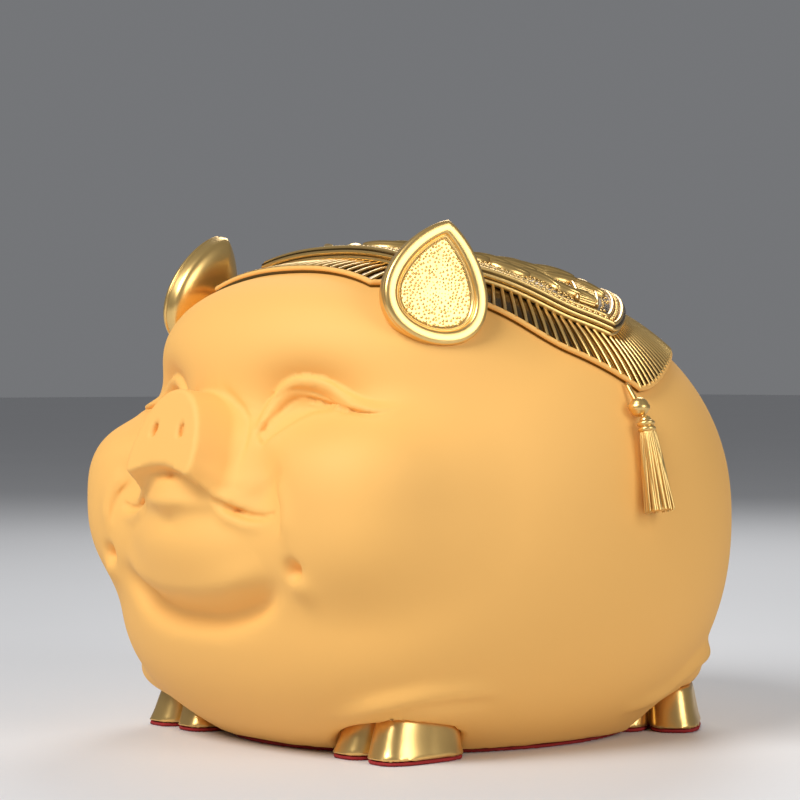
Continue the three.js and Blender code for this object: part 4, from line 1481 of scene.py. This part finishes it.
class PIG_OT_tassels(bpy.types.Operator):
    """Make the two tassels with their beads, knots and threads"""
    bl_idname = "pig_bank.tassels"
    bl_label = "Tassels"

    def execute(self, context):
        settings = context.scene.pig_bank.cloth
        gold = finish_of("gold_plating")
        top = np.array((side_x(TASSEL_Y, 109.5) + 5.6, TASSEL_Y, 109.5))
        end = np.array((side_x(TASSEL_Y, 78.0) + 5.6, TASSEL_Y, 78.0))
        down = (end - top) / np.linalg.norm(end - top)
        u = np.cross(down, (0, 1, 0))
        u /= np.linalg.norm(u)
        v = np.cross(down, u)
        bead = np.array((side_x(TASSEL_Y, 112.8) + 4.5, TASSEL_Y, 112.8))
        loop_top = np.array((side_x(TASSEL_Y, 119.5) + 1.2, TASSEL_Y + 1.5, 120.5))
        ball = [(0, -3.3)] + [(3.3 * math.sin(a) + (0.3 if abs(a - math.pi / 2) < 0.2 else 0), -3.3 * math.cos(a))
                               for a in np.linspace(0.12, math.pi - 0.12, 17)] + [(0, 3.3)]
        hanger = rod(np.linspace(loop_top, bead, 8), np.full(8, 0.8), 12)
        link_down = rod(np.linspace(bead, top + down * 1.5, 6), np.full(6, 0.75), 12)
        bead_parts = [lathe(bead, (0, 0, -1), ball, 28), hanger]
        neck = [(0, -0.6), (0.9, -0.5), (1.5, 0.0), (1.9, 0.7), (1.9, 1.1), (2.5, 1.25), (2.95, 1.8), (2.95, 2.3),
                (2.5, 2.85), (2.1, 3.0), (2.5, 3.15), (2.95, 3.7), (2.95, 4.2), (2.5, 4.75), (2.1, 4.9), (2.3, 6.0),
                (2.7, 8.0), (2.9, 10.0), (2.6, 14.0), (0, 14.2)]
        core = [(0, 5.0), (2.0, 5.1), (2.7, 9.0), (3.3, 16.0), (3.7, 24.0), (3.9, 30.2), (3.6, 30.8), (0, 30.9)]
        knot_parts = [lathe(top, down, neck, 32), lathe(top, down, core, 32), link_down]
        threads = self.threads(settings.threads, top, down, u, v)
        tree = strand_tree()
        for side in ("left", "right"):
            flip = (lambda part: part) if side == "left" else (lambda part: mirror(*part))
            mesh = outwards(make_mesh(f"{side}_hanging_bead", *join([flip(p) for p in bead_parts])))
            finish_piece(link(f"{side}_hanging_bead", mesh, gold), "bank", "gold_plating", f"{side}_tassel_bead")
            mesh = outwards(make_mesh(f"{side}_tassel_knot", *join([flip(p) for p in knot_parts])))
            finish_piece(link(f"{side}_tassel_knot", mesh, gold), "bank", "gold_plating", f"{side}_tassel")
            lines = [t * ((1, 1, 1) if side == "left" else (-1, 1, 1)) for t in threads]
            mesh = grow(f"{side}_tassel_threads", tree, lines_mesh(f"{side}_thread_lines", lines), {
                "Radius": settings.thread_radius, "Sides": 7, "Finish": gold})
            finish_piece(link(f"{side}_tassel_threads", mesh, smooth=False), "bank", "gold_plating")
        return {"FINISHED"}

    def threads(self, count, top, down, u, v):
        lines = []
        t = np.linspace(0, 1, 18)
        for i in range(count):
            angle = 2 * math.pi * i / count + 0.10 * math.sin(i * 2.3) * t
            radius = 2.1 + 2.35 * t ** 0.75 + 0.18 * np.sin(i * 1.7 + 5 * t)
            depth = 4.9 + (26.1 + 0.35 * math.sin(i * 3.1)) * t
            lines.append(top + np.outer(depth, down) + (radius * np.cos(angle))[:, None] * u
                         + (radius * np.sin(angle))[:, None] * v)
        return lines


class PIG_OT_tail(bpy.types.Operator):
    """Make the curled tail"""
    bl_idname = "pig_bank.tail"
    bl_label = "Tail"

    def execute(self, context):
        low, high = 60.0, 140.0
        for _ in range(30):
            middle = (low + high) / 2
            if masses(np.array([[0, middle, 88]], np.float32))[0] > 0:
                high = middle
            else:
                low = middle
        t = np.linspace(0, 1, 70)
        angle = 2 * math.pi * 1.15 * t
        swing = 7.5 * (1 - 0.35 * t)
        line = np.stack([swing * np.sin(angle), low - 1.6 + 7 * t, 95.5 - swing * np.cos(angle)], -1)
        radii = 2.75 - 0.9 * t
        radii[-6:] *= np.sqrt(1 - np.linspace(0, 0.96, 6) ** 2)
        mesh = outwards(make_mesh("curled_tail", *rod(line, radii, 24)))
        finish_piece(link("curled_tail", mesh, finish_of("lacquered_body")), "bank", "lacquered_body", "tail")
        return {"FINISHED"}


class PIG_OT_base(bpy.types.Operator):
    """Make the felt sole, and finish the base plate and the stopper"""
    bl_idname = "pig_bank.base"
    bl_label = "Base"

    def execute(self, context):
        for node, finish in (("base_plate", "lacquered_body"), ("stopper", "black_rubber")):
            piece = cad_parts[node]
            piece.data.materials.clear()
            piece.data.materials.append(finish_of(finish))

        def felt(p):
            side = one_side(p)
            lobes = [toes(np.concatenate([in_hoof(side, place)[..., :2], np.full_like(side[..., :1], BASE_Z)], -1))
                     for place in (FRONT_HOOF, REAR_HOOF)]
            d = np.minimum(oval(p, *FELT_OVAL), np.minimum(*lobes) + 0.4)
            d = np.maximum(d, 25 - np.hypot(p[..., 0], p[..., 1] - PLATE_Y))
            d = d + 0.12 * np.sin(p[..., 0] * 5.1 + 2 * np.sin(p[..., 1] * 3.7)) * np.sin(p[..., 1] * 4.3)
            return smooth_common(d, np.abs(p[..., 2] - 0.62) - 0.6, 0.3)

        points, faces = skin(felt, (-76, -74, -0.9), (76, 96, 2.7), 0.9)
        points = settle(felt, points, 4, 0.4)
        points[:, 2] = np.clip(points[:, 2], 0.02, 1.24)
        mesh = make_mesh("felt_sole", points, faces)
        piece = link("felt_sole", mesh, finish_of("red_felt"))
        finish_piece(piece, "bank", "red_felt", "base_felt")
        return {"FINISHED"}


class PIG_OT_stage(bpy.types.Operator):
    """Make the floor, the lights and the camera"""
    bl_idname = "pig_bank.stage"
    bl_label = "Stage"

    def execute(self, context):
        settings = context.scene.pig_bank.stage
        self.floor()
        self.camera(context, settings)
        self.light("key", settings.key, (0.10, -0.95, 1.05), 0.75)
        self.light("fill", settings.fill, (1.15, 0.15, 0.55), 0.7)
        self.light("back", settings.fill * 1.1, (-0.7, 0.8, 0.9), 0.6)
        world = bpy.data.worlds.new("studio")
        world.use_nodes = True
        world.node_tree.nodes["Background"].inputs["Color"].default_value = (0.80, 0.82, 0.86, 1)
        world.node_tree.nodes["Background"].inputs["Strength"].default_value = settings.air
        context.scene.world = world
        context.scene.view_settings.view_transform = "Standard"
        return {"FINISHED"}

    def floor(self):
        work = bmesh.new()
        bmesh.ops.create_grid(work, x_segments=24, y_segments=24, size=12)
        mesh = bpy.data.meshes.new("studio_floor")
        work.to_mesh(mesh)
        work.free()
        link("studio_floor", mesh, finish_of("studio_floor"))

    def camera(self, context, settings):
        data = bpy.data.cameras.new("camera")
        data.lens = settings.lens
        data.sensor_width = 36
        data.shift_y = -0.03
        camera = bpy.data.objects.new("camera", data)
        context.scene.collection.objects.link(camera)
        s, c = math.sin(settings.turn), math.cos(settings.turn)
        aside = -0.003
        camera.location = (settings.distance * s + aside * c, -settings.distance * c + aside * s + SHIFT * MM,
                           settings.height)
        camera.rotation_euler = (math.pi / 2, 0, settings.turn)
        context.scene.camera = camera

    def light(self, name, power, place, size):
        data = bpy.data.lights.new(name, "AREA")
        data.energy = power
        data.shape = "DISK"
        data.size = size
        lamp = bpy.data.objects.new(name, data)
        bpy.context.scene.collection.objects.link(lamp)
        lamp.location = place
        aim = np.array((0, 0, 0.08)) - np.array(place)
        lamp.rotation_euler = (math.acos(-aim[2] / np.linalg.norm(aim)), 0, math.atan2(-aim[0], aim[1]))


STEPS = (PIG_OT_finishes, PIG_OT_body, PIG_OT_hooves, PIG_OT_ears, PIG_OT_blanket, PIG_OT_pad, PIG_OT_tassels,
         PIG_OT_tail, PIG_OT_base, PIG_OT_stage)


class PIG_PT_panel(bpy.types.Panel):
    """The bank's settings and steps"""
    bl_idname = "PIG_PT_panel"
    bl_label = "Pig bank"
    bl_space_type = "VIEW_3D"
    bl_region_type = "UI"
    bl_category = "Pig bank"

    def draw(self, context):
        settings = context.scene.pig_bank
        for group in (settings.finishes, settings.body, settings.cloth, settings.ears, settings.stage):
            column = self.layout.box().column()
            for name in group.__annotations__:
                column.prop(group, name)
        for step in STEPS:
            self.layout.operator(step.bl_idname)


CLASSES = (PigFinishSettings, PigBodySettings, PigClothSettings, PigEarSettings, PigStageSettings,
           PigBankSettings, *STEPS, PIG_PT_panel)


def register():
    for cls in CLASSES:
        bpy.utils.register_class(cls)
    bpy.types.Scene.pig_bank = bpy.props.PointerProperty(type=PigBankSettings)


def unregister():
    del bpy.types.Scene.pig_bank
    for cls in reversed(CLASSES):
        bpy.utils.unregister_class(cls)


def main():
    register()
    for step in STEPS:
        group, name = step.bl_idname.split(".")
        getattr(getattr(bpy.ops, group), name)()


if __name__ == "__main__":
    main()
